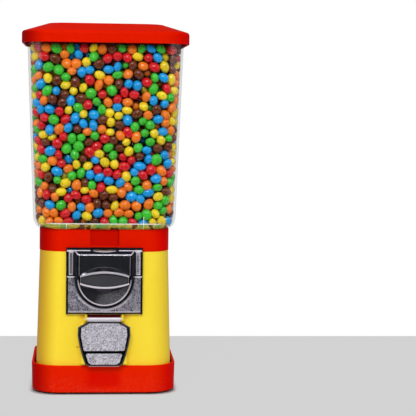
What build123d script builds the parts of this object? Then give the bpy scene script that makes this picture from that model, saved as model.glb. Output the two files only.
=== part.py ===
from build123d import *
import math
import os

os.makedirs("parts", exist_ok=True)

# Frame: +Z up along the centre rod, the front of the machine faces -Y, Z = 0 is the floor.
# All sizes are in millimetres.

# Heights of the main pieces, from the floor up
FOOT_HEIGHT = 6.0
TRAY_BOTTOM = 2.0
TRAY_FLOOR_TOP = 9.0
TRAY_RIM_TOP = 34.2
BODY_TOP = 167.6
COLLAR_TOP = 193.8
GLOBE_TOP = 418.4
LID_SKIRT_BOTTOM = 410.5
LID_SKIRT_TOP = 420.8
LID_EAVES = 424.8
LID_TOP = 434.0

# Square outlines: full width and corner radius
TRAY_WIDTH = 170.2
TRAY_FOOT_WIDTH = 168.6
TRAY_RADIUS = 35.0
BODY_FOOT_WIDTH = 160.6
BODY_TOP_WIDTH = 152.2
BODY_RADIUS = 30.0
COLLAR_WIDTH = 153.0
COLLAR_RADIUS = 30.0
GLOBE_FOOT_WIDTH = 160.8
GLOBE_LOW_WIDTH = 168.4
GLOBE_TOP_WIDTH = 182.8
GLOBE_RADIUS = 29.0
LID_WIDTH = 195.4
LID_RADIUS = 35.0
LID_EAVES_WIDTH = 188.6
LID_PLATEAU_WIDTH = 134.0

WALL = 3.0
GLOBE_WALL = 2.5
LID_WALL = 2.5

# Centre rod, 5/16 inch
ROD_RADIUS = 4.0
ROD_BOTTOM = 2.6
ROD_TOP = 424.9
ROD_CLEARANCE = 0.1

# Coin mechanism
AXIS_Z = 136.4
PLATE_HALF_WIDTH = 44.7
PLATE_BOTTOM = 94.2
PLATE_TOP = 172.7
PLATE_BACK_Y = -78.2
PLATE_FRONT_Y = -82.9
BOSS_FACE_Y = -85.6
BOSS_BASE_RADIUS = 36.4
BOSS_FACE_RADIUS = 34.4
BOSS_TOP_Z = 169.4
HOOD_BEVEL_Y = -89.6
HOOD_FRONT_Y = -92.4
HOOD_BEVEL_HALF_WIDTH = 32.9
HOOD_HALF_WIDTH = 30.8
HOOD_FRONT_TOP = 165.3
KNOB_RADIUS = 31.4
KNOB_GAP = 0.35
KNOB_BACK_Y = -85.9
KNOB_FACE_Y = -88.9
KNOB_ROOF_Y = -89.4
KNOB_HUB_RADIUS = 8.0
GRIP_BACK_Y = -92.7
GRIP_FRONT_Y = -97.7
GRIP_LENGTH = 61.4
GRIP_HEIGHT = 19.2
GRIP_END_HEIGHT = 9.3
GRIP_FLANK = 4.6
COIN_RADIUS = 12.13
COIN_SLOT_WIDTH = 2.4
SHAFT_RADIUS = 5.0
BUSHING_WALL = 2.0
RUNNING_FIT = 0.06
SOCKET_DEPTH = 4.0
SHAFT_BACK_Y = -56.2
WHEEL_POCKET_RADIUS = 31.4
COIN_WHEEL_RADIUS = 31.0
MECH_SCREW_X = 70.0
MECH_SCREW_Z = 52.0
SCREW_CENTRE_Z = AXIS_Z - 6.0
BLIND_RADIUS = 1.9

# Door and its hinge
HINGE_Y = -85.4
HINGE_Z = 89.0
BARREL_RADIUS = 2.3
BARREL_HALF_WIDTH = 20.0
PIN_RADIUS = 1.2
DOOR_LEAN = 6.0
DOOR_THICKNESS = 3.0
EAR_INNER = 20.6
EAR_THICKNESS = 2.4
EAR_RADIUS = 2.9

# Dispensing gear
PEG_COUNT = 40
PEG_CIRCLE = 62.0
PEG_RADIUS = 1.5
PEG_LENGTH = 9.0
GEAR_TEETH = 8
POCKET_COUNT = 5
POCKET_CIRCLE = 37.0
POCKET_RADIUS = 15.0
WHEEL_RADIUS = 64.5
WHEEL_BOTTOM = AXIS_Z + 19.0
WHEEL_TOP = WHEEL_BOTTOM + 16.0
HUB_RADIUS = 9.0
HUB_TUBE_RADIUS = 12.6
HUB_TUBE_HEIGHT = 8.4
OUTLET_RADIUS = 15.5
HOPPER_RADIUS = 68.0
HOPPER_WALL = 2.4
HOPPER_TOP = WHEEL_TOP + 4.4
HOPPER_FLOOR_TOP = WHEEL_BOTTOM - 0.6
HOPPER_FLOOR = 3.0
TROUGH_TOP = HOPPER_FLOOR_TOP - 10.0
TROUGH_INNER = 56.5


def finish(builder, name):
    """Name a finished sub-part and write it."""
    builder.part.label = name
    export_step(builder.part, f"parts/{name}.step")


def body_width(height):
    """Outer width of the tapered body at a height."""
    share = (height - TRAY_FLOOR_TOP) / (BODY_TOP - TRAY_FLOOR_TOP)
    return BODY_FOOT_WIDTH + share * (BODY_TOP_WIDTH - BODY_FOOT_WIDTH)


def facing(depth):
    """Plane square to Y at a depth: its x is the frame's X, its y the frame's Z."""
    return Plane(origin=(0, depth, 0), x_dir=(1, 0, 0), z_dir=(0, -1, 0))


# Base tray: a dished moulding with a raised floor, four screw bosses and four holes for a stand
STAND_SPACING = 76.2
STAND_HOLE_RADIUS = 3.4
FOOT_PLACE = 60.0
FOOT_SCREW_RADIUS = 2.0
FOOT_SCREW_HOLE = 8.0
FOOT_SCREW_LENGTH = 10.0
TRAY_WALL = 3.2
TRAY_FLOOR_BOTTOM = 6.0
BOSS_TOP = 16.0
BOSS_RADIUS = 5.0
TRAY_FOOT_FILLET = 1.4
TRAY_RIM_FILLET = 1.1
OVERLAP = 1.0

with BuildPart() as base_tray:
    with BuildSketch(Plane.XY.offset(TRAY_BOTTOM)):
        RectangleRounded(TRAY_FOOT_WIDTH, TRAY_FOOT_WIDTH, TRAY_RADIUS - 1)
    with BuildSketch(Plane.XY.offset(TRAY_RIM_TOP)):
        RectangleRounded(TRAY_WIDTH, TRAY_WIDTH, TRAY_RADIUS)
    loft()
    fillet(base_tray.faces().sort_by(Axis.Z)[0].edges(), TRAY_FOOT_FILLET)
    with BuildSketch(Plane.XY.offset(TRAY_FLOOR_TOP)):
        inner = TRAY_FOOT_WIDTH - 2 * TRAY_WALL
        RectangleRounded(inner, inner, TRAY_RADIUS - 1 - TRAY_WALL)
    with BuildSketch(Plane.XY.offset(TRAY_RIM_TOP)):
        inner = TRAY_WIDTH - 2 * TRAY_WALL
        RectangleRounded(inner, inner, TRAY_RADIUS - TRAY_WALL)
    loft(mode=Mode.SUBTRACT)
    with BuildSketch(Plane.XY.offset(TRAY_BOTTOM)):
        inner = TRAY_FOOT_WIDTH - 2 * TRAY_WALL
        RectangleRounded(inner, inner, TRAY_RADIUS - 1 - TRAY_WALL)
    extrude(amount=TRAY_FLOOR_BOTTOM - TRAY_BOTTOM, mode=Mode.SUBTRACT)
    rim_edges = base_tray.edges().group_by(Axis.Z)[-1]
    fillet(rim_edges, TRAY_RIM_FILLET)
    with BuildSketch(Plane.XY.offset(TRAY_FLOOR_TOP - OVERLAP)):
        with GridLocations(2 * FOOT_PLACE, 2 * FOOT_PLACE, 2, 2):
            Circle(BOSS_RADIUS)
    extrude(amount=BOSS_TOP - TRAY_FLOOR_TOP + OVERLAP)
    with BuildSketch(Plane.XY.offset(TRAY_FLOOR_BOTTOM)):
        with GridLocations(2 * FOOT_PLACE, 2 * FOOT_PLACE, 2, 2):
            Circle(FOOT_SCREW_RADIUS)
    extrude(amount=FOOT_SCREW_HOLE, mode=Mode.SUBTRACT)
    with BuildSketch(Plane.XY.offset(TRAY_FLOOR_BOTTOM)):
        with GridLocations(STAND_SPACING, STAND_SPACING, 2, 2):
            Circle(STAND_HOLE_RADIUS)
        Circle(ROD_RADIUS + ROD_CLEARANCE)
    extrude(amount=TRAY_FLOOR_TOP - TRAY_FLOOR_BOTTOM, mode=Mode.SUBTRACT)
finish(base_tray, "base_tray")

# Rubber feet, screwed up into the tray
FOOT_RADIUS = 10.0
FOOT_BORE = 2.1
SCREW_HEAD_RADIUS = 3.8
SCREW_SEAT_Z = 3.4
SCREW_HEAD_PLAY = 0.4
SCREW_HEAD_HEIGHT = 2.2
SCREW_SLOT = (5.0, 1.0)
SCREW_SLOT_DEPTH = 1.0
FOOT_CHAMFER = 0.8

with BuildPart() as rubber_feet:
    with BuildSketch():
        with GridLocations(2 * FOOT_PLACE, 2 * FOOT_PLACE, 2, 2):
            Circle(FOOT_RADIUS)
    extrude(amount=FOOT_HEIGHT)
    chamfer(rubber_feet.edges().group_by(Axis.Z)[0], FOOT_CHAMFER)
    with BuildSketch():
        with GridLocations(2 * FOOT_PLACE, 2 * FOOT_PLACE, 2, 2):
            Circle(FOOT_BORE)
    extrude(amount=FOOT_HEIGHT, mode=Mode.SUBTRACT)
    with BuildSketch():
        with GridLocations(2 * FOOT_PLACE, 2 * FOOT_PLACE, 2, 2):
            Circle(SCREW_HEAD_RADIUS + SCREW_HEAD_PLAY)
    extrude(amount=SCREW_SEAT_Z, mode=Mode.SUBTRACT)
finish(rubber_feet, "rubber_feet")

with BuildPart() as foot_screws:
    with BuildSketch(Plane.XY.offset(SCREW_SEAT_Z)):
        with GridLocations(2 * FOOT_PLACE, 2 * FOOT_PLACE, 2, 2):
            Circle(FOOT_SCREW_RADIUS)
    extrude(amount=FOOT_SCREW_LENGTH)
    with BuildSketch(Plane.XY.offset(SCREW_SEAT_Z)):
        with GridLocations(2 * FOOT_PLACE, 2 * FOOT_PLACE, 2, 2):
            Circle(SCREW_HEAD_RADIUS)
    extrude(amount=-SCREW_HEAD_HEIGHT)
    with BuildSketch(Plane.XY.offset(SCREW_SEAT_Z - SCREW_HEAD_HEIGHT)):
        with GridLocations(2 * FOOT_PLACE, 2 * FOOT_PLACE, 2, 2):
            Rectangle(*SCREW_SLOT)
    extrude(amount=SCREW_SLOT_DEPTH, mode=Mode.SUBTRACT)
finish(foot_screws, "foot_screws")

# Body: a tapered square shell with a top deck, the mechanism's window, and the chute mouth
DECK_THICKNESS = 3.0
DECK_OPENING_RADIUS = 69.0
WINDOW_HALF_WIDTH = 40.0
WINDOW_BOTTOM = AXIS_Z - 37.6
WINDOW_TOP = AXIS_Z + 24.4
MOUTH_HALF_WIDTH = 23.0
MOUTH_BOTTOM = HINGE_Z - 48.6
MOUTH_TOP = HINGE_Z - 10.6
SPOUT_BACK_Y = -74.0
SPOUT_HALF_WIDTH = 26.5
SPOUT_BOTTOM = HINGE_Z - 52.1
SPOUT_TOP = HINGE_Z - 7.6
SPOUT_GAP = 0.4
EAR_ROOT_Y = -76.6
EAR_ROOT_RISE = 5.0
COLLAR_SCREW_PLACE = 57.0
COLLAR_SCREW_RADIUS = 1.85
COLLAR_SCREW_PLAY = 0.25
SPOUT_SLOPE = 3.0
WINDOW_CORNER = 3.0
MOUTH_CORNER = 5.0
EAR_CORNER = 0.4
CUT_DEPTH = 20.0


def door_back(height):
    """Depth of the hanging door's back face at a height."""
    return HINGE_Y - math.tan(math.radians(DOOR_LEAN)) * (HINGE_Z - height)


with BuildPart() as body_shell:
    with BuildSketch(Plane.XY.offset(TRAY_FLOOR_TOP)):
        RectangleRounded(BODY_FOOT_WIDTH, BODY_FOOT_WIDTH, BODY_RADIUS)
    with BuildSketch(Plane.XY.offset(BODY_TOP)):
        RectangleRounded(BODY_TOP_WIDTH, BODY_TOP_WIDTH, BODY_RADIUS)
    loft()
    # Spout that carries the door's rest face, and the two ears of the hinge
    with BuildSketch(Plane.YZ.offset(-SPOUT_HALF_WIDTH)):
        with BuildLine():
            Polyline(
                (SPOUT_BACK_Y, SPOUT_BOTTOM),
                (door_back(SPOUT_BOTTOM) + SPOUT_GAP, SPOUT_BOTTOM),
                (door_back(SPOUT_TOP) + SPOUT_GAP, SPOUT_TOP),
                (SPOUT_BACK_Y, SPOUT_TOP + SPOUT_SLOPE),
                close=True,
            )
        make_face()
    extrude(amount=2 * SPOUT_HALF_WIDTH)
    for side in (-1, 1):
        ear_start = side * EAR_INNER
        with BuildSketch(Plane.YZ.offset(ear_start)):
            with BuildLine():
                Polyline(
                    (EAR_ROOT_Y, HINGE_Z + EAR_ROOT_RISE),
                    (HINGE_Y - EAR_RADIUS + EAR_CORNER, HINGE_Z + EAR_ROOT_RISE),
                    (HINGE_Y - EAR_RADIUS, HINGE_Z + EAR_ROOT_RISE - EAR_CORNER),
                    (HINGE_Y - EAR_RADIUS, HINGE_Z),
                    (HINGE_Y, HINGE_Z - EAR_RADIUS),
                    (EAR_ROOT_Y, HINGE_Z - EAR_ROOT_RISE),
                    close=True,
                )
            make_face()
            with Locations((HINGE_Y, HINGE_Z)):
                Circle(EAR_RADIUS)
        extrude(amount=side * EAR_THICKNESS)
    # Hollow inside, open below, with a deck left at the top
    with BuildSketch(Plane.XY.offset(TRAY_FLOOR_TOP)):
        inner = BODY_FOOT_WIDTH - 2 * WALL
        RectangleRounded(inner, inner, BODY_RADIUS - WALL)
    with BuildSketch(Plane.XY.offset(BODY_TOP - DECK_THICKNESS)):
        inner = body_width(BODY_TOP - DECK_THICKNESS) - 2 * WALL
        RectangleRounded(inner, inner, BODY_RADIUS - WALL)
    loft(mode=Mode.SUBTRACT)
    with BuildSketch(Plane.XY.offset(BODY_TOP)):
        Circle(DECK_OPENING_RADIUS)
        with GridLocations(2 * COLLAR_SCREW_PLACE, 2 * COLLAR_SCREW_PLACE, 2, 2):
            Circle(COLLAR_SCREW_RADIUS + COLLAR_SCREW_PLAY)
    extrude(amount=-DECK_THICKNESS, mode=Mode.SUBTRACT)
    # Window for the coin mechanism
    with BuildSketch(facing(PLATE_FRONT_Y)):
        with Locations((0, (WINDOW_BOTTOM + WINDOW_TOP) / 2)):
            RectangleRounded(2 * WINDOW_HALF_WIDTH, WINDOW_TOP - WINDOW_BOTTOM, WINDOW_CORNER)
    extrude(amount=-CUT_DEPTH, mode=Mode.SUBTRACT)
    # Mouth of the chute, through the spout
    with BuildSketch(facing(SPOUT_BACK_Y - CUT_DEPTH)):
        with Locations((0, (MOUTH_BOTTOM + MOUTH_TOP) / 2)):
            RectangleRounded(2 * MOUTH_HALF_WIDTH, MOUTH_TOP - MOUTH_BOTTOM, MOUTH_CORNER)
    extrude(amount=-CUT_DEPTH - MOUTH_CORNER, mode=Mode.SUBTRACT)
    # Bores for the door's pin
    with BuildSketch(Plane.YZ.offset(-EAR_INNER - EAR_THICKNESS)):
        with Locations((HINGE_Y, HINGE_Z)):
            Circle(PIN_RADIUS)
    extrude(amount=2 * (EAR_INNER + EAR_THICKNESS), mode=Mode.SUBTRACT)
finish(body_shell, "body_shell")

# Chute: a drop tube under the outlet that turns forward to the mouth
CHUTE_HALF_WIDTH = 20.0
CHUTE_WALL = 1.8
CHUTE_TOP = AXIS_Z + 6.0
CHUTE_FRONT_Y = -55.0
CHUTE_BACK_Y = -19.0
CHUTE_MOUTH_Y = -75.2
CHUTE_MOUTH_TOP = MOUTH_TOP + 3.0
CHUTE_MOUTH_BOTTOM = MOUTH_BOTTOM - 4.0
CHUTE_KNEE_FRONT = CHUTE_MOUTH_TOP + 17.0
CHUTE_KNEE_BACK = CHUTE_MOUTH_BOTTOM + 57.0
KNEE_INSET = 0.8
MOUTH_WALL = 2.5
NECK_WALL = 1.3
NECK_ROOT = 0.4
NECK_TOP = HOPPER_FLOOR_TOP - HOPPER_FLOOR

with BuildPart() as chute:
    with BuildSketch(Plane.YZ.offset(-CHUTE_HALF_WIDTH)):
        with BuildLine():
            Polyline(
                (CHUTE_FRONT_Y, CHUTE_TOP),
                (CHUTE_FRONT_Y, CHUTE_KNEE_FRONT),
                (CHUTE_MOUTH_Y, CHUTE_MOUTH_TOP),
                (CHUTE_MOUTH_Y, CHUTE_MOUTH_BOTTOM),
                (CHUTE_BACK_Y, CHUTE_KNEE_BACK),
                (CHUTE_BACK_Y, CHUTE_TOP),
                close=True,
            )
        make_face()
    extrude(amount=2 * CHUTE_HALF_WIDTH)
    with BuildSketch(Plane.YZ.offset(-CHUTE_HALF_WIDTH + CHUTE_WALL)):
        with BuildLine():
            Polyline(
                (CHUTE_FRONT_Y + CHUTE_WALL, CHUTE_TOP - CHUTE_WALL),
                (CHUTE_FRONT_Y + CHUTE_WALL, CHUTE_KNEE_FRONT - KNEE_INSET),
                (CHUTE_MOUTH_Y, CHUTE_MOUTH_TOP - MOUTH_WALL),
                (CHUTE_MOUTH_Y, CHUTE_MOUTH_BOTTOM + MOUTH_WALL),
                (CHUTE_BACK_Y - CHUTE_WALL, CHUTE_KNEE_BACK + KNEE_INSET),
                (CHUTE_BACK_Y - CHUTE_WALL, CHUTE_TOP - CHUTE_WALL),
                close=True,
            )
        make_face()
    extrude(amount=2 * (CHUTE_HALF_WIDTH - CHUTE_WALL), mode=Mode.SUBTRACT)
    # Round neck that reaches up to the hopper's outlet
    with BuildSketch(Plane.XY.offset(CHUTE_TOP - NECK_ROOT)):
        with Locations((0, -POCKET_CIRCLE)):
            Circle(OUTLET_RADIUS + NECK_WALL)
    extrude(amount=NECK_TOP - CHUTE_TOP + NECK_ROOT)
    with BuildSketch(Plane.XY.offset(CHUTE_TOP - CHUTE_WALL)):
        with Locations((0, -POCKET_CIRCLE)):
            Circle(OUTLET_RADIUS)
    extrude(amount=NECK_TOP - CHUTE_TOP + CHUTE_WALL, mode=Mode.SUBTRACT)
finish(chute, "chute")

# Chute door: a shield-shaped die casting that hangs from its barrel
DOOR_HALF_WIDTH = 30.4
door_plane = Plane(
    origin=(0, HINGE_Y, HINGE_Z),
    x_dir=(1, 0, 0),
    z_dir=(0, -math.cos(math.radians(DOOR_LEAN)), math.sin(math.radians(DOOR_LEAN))),
)
door_outline = [
    (BARREL_HALF_WIDTH - 1.4, -2.6),
    (DOOR_HALF_WIDTH, -9.0),
    (DOOR_HALF_WIDTH + 0.4, -19.0),
    (28.8, -30.0),
    (25.6, -42.0),
    (22.0, -52.0),
    (17.0, -55.0),
]
DOOR_BEVEL = 1.6
PANEL_CORNER = 1.8
PANEL_RISE = 0.7
PANEL_ROOT = 0.2
BARREL_PLAY = 0.08
NECK_HEIGHT = 3.2
NECK_THICKNESS = 1.8
PIN_OVERHANG = 0.6
tall_panel = [(15.4, -3.8), (26.6, -10.2), (26.8, -19.6), (23.6, -36.6)]
low_panel = [(21.6, -39.8), (18.2, -50.2), (15.0, -52.4)]

with BuildPart() as chute_door:
    with BuildSketch(door_plane):
        with BuildLine():
            Polyline(*door_outline)
            Polyline(*[(-x, y) for x, y in door_outline])
            Line(door_outline[0], (-door_outline[0][0], door_outline[0][1]))
            Line(door_outline[-1], (-door_outline[-1][0], door_outline[-1][1]))
        make_face()
    extrude(amount=DOOR_THICKNESS)
    outward = Axis((0, 0, 0), door_plane.z_dir)
    chamfer(chute_door.faces().sort_by(outward)[-1].edges(), DOOR_BEVEL)
    # Raised panels: a tall one above a groove and a low one below it
    with BuildSketch(door_plane.offset(DOOR_THICKNESS - PANEL_ROOT)):
        for panel in (tall_panel, low_panel):
            with BuildLine():
                Polyline(*panel, *[(-x, y) for x, y in reversed(panel)], close=True)
            make_face()
    extrude(amount=PANEL_RISE + PANEL_ROOT)
    upright = chute_door.edges().filter_by(outward)
    fillet(upright.filter_by(lambda edge: edge.length < PANEL_RISE + PANEL_ROOT), PANEL_CORNER)
    # Hinge barrel along the top edge
    with BuildSketch(Plane.YZ.offset(-BARREL_HALF_WIDTH)):
        with Locations((HINGE_Y, HINGE_Z)):
            Circle(BARREL_RADIUS)
    extrude(amount=2 * BARREL_HALF_WIDTH)
    with BuildSketch(door_plane):
        with Locations((0, -NECK_HEIGHT / 2)):
            Rectangle(2 * (BARREL_HALF_WIDTH - 1), NECK_HEIGHT)
    extrude(amount=NECK_THICKNESS)
    with BuildSketch(Plane.YZ.offset(-BARREL_HALF_WIDTH)):
        with Locations((HINGE_Y, HINGE_Z)):
            Circle(PIN_RADIUS + BARREL_PLAY)
    extrude(amount=2 * BARREL_HALF_WIDTH, mode=Mode.SUBTRACT)
finish(chute_door, "chute_door")

with BuildPart() as door_pin:
    with BuildSketch(Plane.YZ.offset(-EAR_INNER - EAR_THICKNESS - PIN_OVERHANG)):
        with Locations((HINGE_Y, HINGE_Z)):
            Circle(PIN_RADIUS)
    extrude(amount=2 * (EAR_INNER + EAR_THICKNESS + PIN_OVERHANG))
finish(door_pin, "door_pin")

# Faceplate: a bevelled plate with two side pads and a U-shaped boss around the knob
POCKET_FRONT_Y = PLATE_BACK_Y - 3.8
PAD_INNER = 36.7
PAD_OUTER = 42.2
PAD_BOTTOM = AXIS_Z + 4.2
PAD_TOP = AXIS_Z + 30.4
APRON_TOP = AXIS_Z + 3.0
APRON_RISE = 0.5
APRON_CHAMFER = 0.4
PAD_RISE = 1.2
HOOD_CHAMFER = 0.6
SLOT_PLAY = 0.4
SCREW_HOLE_DEPTH = 3.2
SLOT_BACK_Y = PLATE_BACK_Y - 1.2
SCOOP_HALF_WIDTH = 16.0
SCOOP_DEPTH = 4.2
PLATE_EDGE = 1.9



def boss_outline(radius, top):
    """Outline of the boss: half round below the knob's axis, straight above it."""
    ThreePointArc((-radius, AXIS_Z), (0, AXIS_Z - radius), (radius, AXIS_Z))
    Polyline((radius, AXIS_Z), (radius, top), (-radius, top), (-radius, AXIS_Z))


with BuildPart() as faceplate:
    with BuildSketch(facing(PLATE_BACK_Y)):
        with Locations((0, (PLATE_BOTTOM + PLATE_TOP) / 2)):
            Rectangle(2 * PLATE_HALF_WIDTH, PLATE_TOP - PLATE_BOTTOM)
    extrude(amount=PLATE_BACK_Y - PLATE_FRONT_Y)
    chamfer(faceplate.faces().sort_by(Axis.Y)[0].edges(), PLATE_EDGE)
    # Apron: the lower part of the plate stands a little proud
    with BuildSketch(facing(PLATE_FRONT_Y)):
        with Locations((0, (PLATE_BOTTOM + PLATE_EDGE + APRON_TOP) / 2)):
            Rectangle(2 * (PLATE_HALF_WIDTH - PLATE_EDGE), APRON_TOP - PLATE_BOTTOM - PLATE_EDGE)
    extrude(amount=APRON_RISE)
    chamfer(faceplate.faces().sort_by(Axis.Y)[0].edges(), APRON_CHAMFER)
    # Boss behind the knob, narrowing to its face
    with BuildSketch(facing(PLATE_FRONT_Y)):
        with BuildLine():
            boss_outline(BOSS_BASE_RADIUS, BOSS_TOP_Z)
        make_face()
    with BuildSketch(facing(BOSS_FACE_Y)):
        with BuildLine():
            boss_outline(BOSS_FACE_RADIUS, BOSS_TOP_Z)
        make_face()
    loft()
    # Hood over the knob's upper half, with a bevel round its front
    for depth, half_width, top in (
        (BOSS_FACE_Y, BOSS_FACE_RADIUS, BOSS_TOP_Z),
        (HOOD_BEVEL_Y, HOOD_BEVEL_HALF_WIDTH, BOSS_TOP_Z),
        (HOOD_FRONT_Y, HOOD_HALF_WIDTH, HOOD_FRONT_TOP),
    ):
        with BuildSketch(facing(depth)):
            with Locations((0, (AXIS_Z + top) / 2)):
                Rectangle(2 * half_width, top - AXIS_Z)
    loft(ruled=True)
    chamfer(faceplate.faces().sort_by(Axis.Y)[0].edges(), HOOD_CHAMFER)
    # Room for the knob's disc, and for the hub that joins it to the grip
    with BuildSketch(facing(BOSS_FACE_Y)):
        with Locations((0, AXIS_Z)):
            Circle(KNOB_RADIUS + KNOB_GAP)
    extrude(amount=BOSS_FACE_Y - KNOB_ROOF_Y, mode=Mode.SUBTRACT)
    with BuildSketch(facing(KNOB_ROOF_Y)):
        with Locations((0, AXIS_Z)):
            Circle(KNOB_HUB_RADIUS + KNOB_GAP)
    extrude(amount=KNOB_ROOF_Y - HOOD_FRONT_Y, mode=Mode.SUBTRACT)
    # Side pads
    with BuildSketch(facing(PLATE_FRONT_Y)):
        for side in (-1, 1):
            with Locations((side * (PAD_INNER + PAD_OUTER) / 2, (PAD_BOTTOM + PAD_TOP) / 2)):
                Rectangle(PAD_OUTER - PAD_INNER, PAD_TOP - PAD_BOTTOM)
    extrude(amount=PAD_RISE)
    # Pocket for the coin wheel, the coin's slot, and the scoop at the top edge
    with BuildSketch(facing(PLATE_BACK_Y)):
        with Locations((0, AXIS_Z)):
            Circle(WHEEL_POCKET_RADIUS)
    extrude(amount=PLATE_BACK_Y - POCKET_FRONT_Y, mode=Mode.SUBTRACT)
    with BuildSketch(facing(SLOT_BACK_Y)):
        with Locations((0, (AXIS_Z + PLATE_TOP + OVERLAP) / 2)):
            Rectangle(2 * (COIN_RADIUS + SLOT_PLAY), PLATE_TOP + OVERLAP - AXIS_Z)
    extrude(amount=COIN_SLOT_WIDTH, mode=Mode.SUBTRACT)
    with BuildSketch(facing(PLATE_BACK_Y)):
        with BuildLine():
            scoop = SCOOP_HALF_WIDTH
            ThreePointArc((-scoop, PLATE_TOP), (0, PLATE_TOP - SCOOP_DEPTH), (scoop, PLATE_TOP))
            above = PLATE_TOP + OVERLAP
            Polyline((scoop, PLATE_TOP), (scoop, above), (-scoop, above), (-scoop, PLATE_TOP))
        make_face()
    extrude(amount=PLATE_BACK_Y - PLATE_FRONT_Y + OVERLAP, mode=Mode.SUBTRACT)
    # Bore for the shaft's bushing
    with BuildSketch(facing(PLATE_BACK_Y)):
        with Locations((0, AXIS_Z)):
            Circle(SHAFT_RADIUS + BUSHING_WALL)
    extrude(amount=CUT_DEPTH, mode=Mode.SUBTRACT)
    # Blind holes for the four screws from behind
    with BuildSketch(facing(PLATE_BACK_Y)):
        with Locations((0, SCREW_CENTRE_Z)):
            with GridLocations(MECH_SCREW_X, MECH_SCREW_Z, 2, 2):
                Circle(BLIND_RADIUS)
    extrude(amount=SCREW_HOLE_DEPTH, mode=Mode.SUBTRACT)
finish(faceplate, "faceplate")

with BuildPart() as shaft_bushing:
    with BuildSketch(facing(POCKET_FRONT_Y)):
        with Locations((0, AXIS_Z)):
            Circle(SHAFT_RADIUS + BUSHING_WALL)
            Circle(SHAFT_RADIUS + RUNNING_FIT, mode=Mode.SUBTRACT)
    extrude(amount=POCKET_FRONT_Y - BOSS_FACE_Y)
finish(shaft_bushing, "shaft_bushing")

# Handle: a flat disc under the hood, and a lens-shaped grip in front of the hood, on a hub
KNOB_CHAMFER = 0.7
GRIP_CORNER = 0.6
GRIP_DRAFT = 0.4
PANEL_DEPTH = 1.0
PANEL_MARGIN = 3.6
PANEL_RIM = 3.0
PANEL_END = 2.4


def lens(half, end, rise):
    """Lens outline about the knob's axis: its half length, half height at the ends, and in the middle."""
    ThreePointArc((-half, AXIS_Z + end), (0, AXIS_Z + rise), (half, AXIS_Z + end))
    Line((half, AXIS_Z + end), (half, AXIS_Z - end))
    ThreePointArc((half, AXIS_Z - end), (0, AXIS_Z - rise), (-half, AXIS_Z - end))
    Line((-half, AXIS_Z - end), (-half, AXIS_Z + end))


with BuildPart() as handle:
    with BuildSketch(facing(KNOB_BACK_Y)):
        with Locations((0, AXIS_Z)):
            Circle(KNOB_RADIUS)
    extrude(amount=KNOB_BACK_Y - KNOB_FACE_Y)
    chamfer(handle.edges().group_by(Axis.Y)[0], KNOB_CHAMFER)
    with BuildSketch(facing(KNOB_FACE_Y)):
        with Locations((0, AXIS_Z)):
            Circle(KNOB_HUB_RADIUS)
    extrude(amount=KNOB_FACE_Y - GRIP_BACK_Y)
    with BuildSketch(facing(GRIP_BACK_Y)):
        with BuildLine():
            lens(GRIP_LENGTH / 2 - GRIP_CORNER, GRIP_END_HEIGHT / 2, GRIP_HEIGHT / 2 + GRIP_FLANK)
        make_face()
    with BuildSketch(facing(GRIP_FRONT_Y)):
        with BuildLine():
            lens(GRIP_LENGTH / 2 - GRIP_CORNER - GRIP_DRAFT, GRIP_END_HEIGHT / 2, GRIP_HEIGHT / 2)
        make_face()
    loft()
    # Sunk panel in the grip's face
    with BuildSketch(facing(GRIP_FRONT_Y)):
        with BuildLine():
            lens(GRIP_LENGTH / 2 - PANEL_MARGIN, PANEL_END, GRIP_HEIGHT / 2 - PANEL_RIM)
        make_face()
    extrude(amount=-PANEL_DEPTH, mode=Mode.SUBTRACT)
    with BuildSketch(facing(KNOB_BACK_Y)):
        with Locations((0, AXIS_Z)):
            Circle(SHAFT_RADIUS)
    extrude(amount=SOCKET_DEPTH, mode=Mode.SUBTRACT)
finish(handle, "handle")

with BuildPart() as handle_shaft:
    with BuildSketch(facing(KNOB_BACK_Y - SOCKET_DEPTH)):
        with Locations((0, AXIS_Z)):
            Circle(SHAFT_RADIUS)
    extrude(amount=-(SHAFT_BACK_Y - KNOB_BACK_Y + SOCKET_DEPTH))
finish(handle_shaft, "handle_shaft")

# Coin wheel: turns behind the faceplate and carries one coin in its notch
COIN_SEAT = 22.0
COIN_PLAY = 0.4
NOTCH_HEIGHT = 20.0
COIN_WHEEL_GAP = 0.4
COIN_WHEEL_THICKNESS = 3.0

with BuildPart() as coin_wheel:
    with BuildSketch(facing(PLATE_BACK_Y - COIN_WHEEL_GAP)):
        with Locations((0, AXIS_Z)):
            Circle(COIN_WHEEL_RADIUS)
            Circle(SHAFT_RADIUS, mode=Mode.SUBTRACT)
        with Locations((0, AXIS_Z + COIN_SEAT)):
            Circle(COIN_RADIUS + COIN_PLAY, mode=Mode.SUBTRACT)
        with Locations((0, AXIS_Z + COIN_SEAT + NOTCH_HEIGHT / 2)):
            Rectangle(2 * (COIN_RADIUS + COIN_PLAY), NOTCH_HEIGHT, mode=Mode.SUBTRACT)
    extrude(amount=COIN_WHEEL_THICKNESS)
finish(coin_wheel, "coin_wheel")

BACK_PLATE_FRONT_Y = PLATE_BACK_Y + 0.05
BACK_PLATE_BACK_Y = PLATE_BACK_Y + 2.6
BACK_PLATE_MARGIN = 0.5
BACK_PLATE_CORNER = 4.0
COIN_EXIT_Z = AXIS_Z - 26.6
COIN_EXIT_SIZE = (27.0, 14.0, 3.0)

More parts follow.
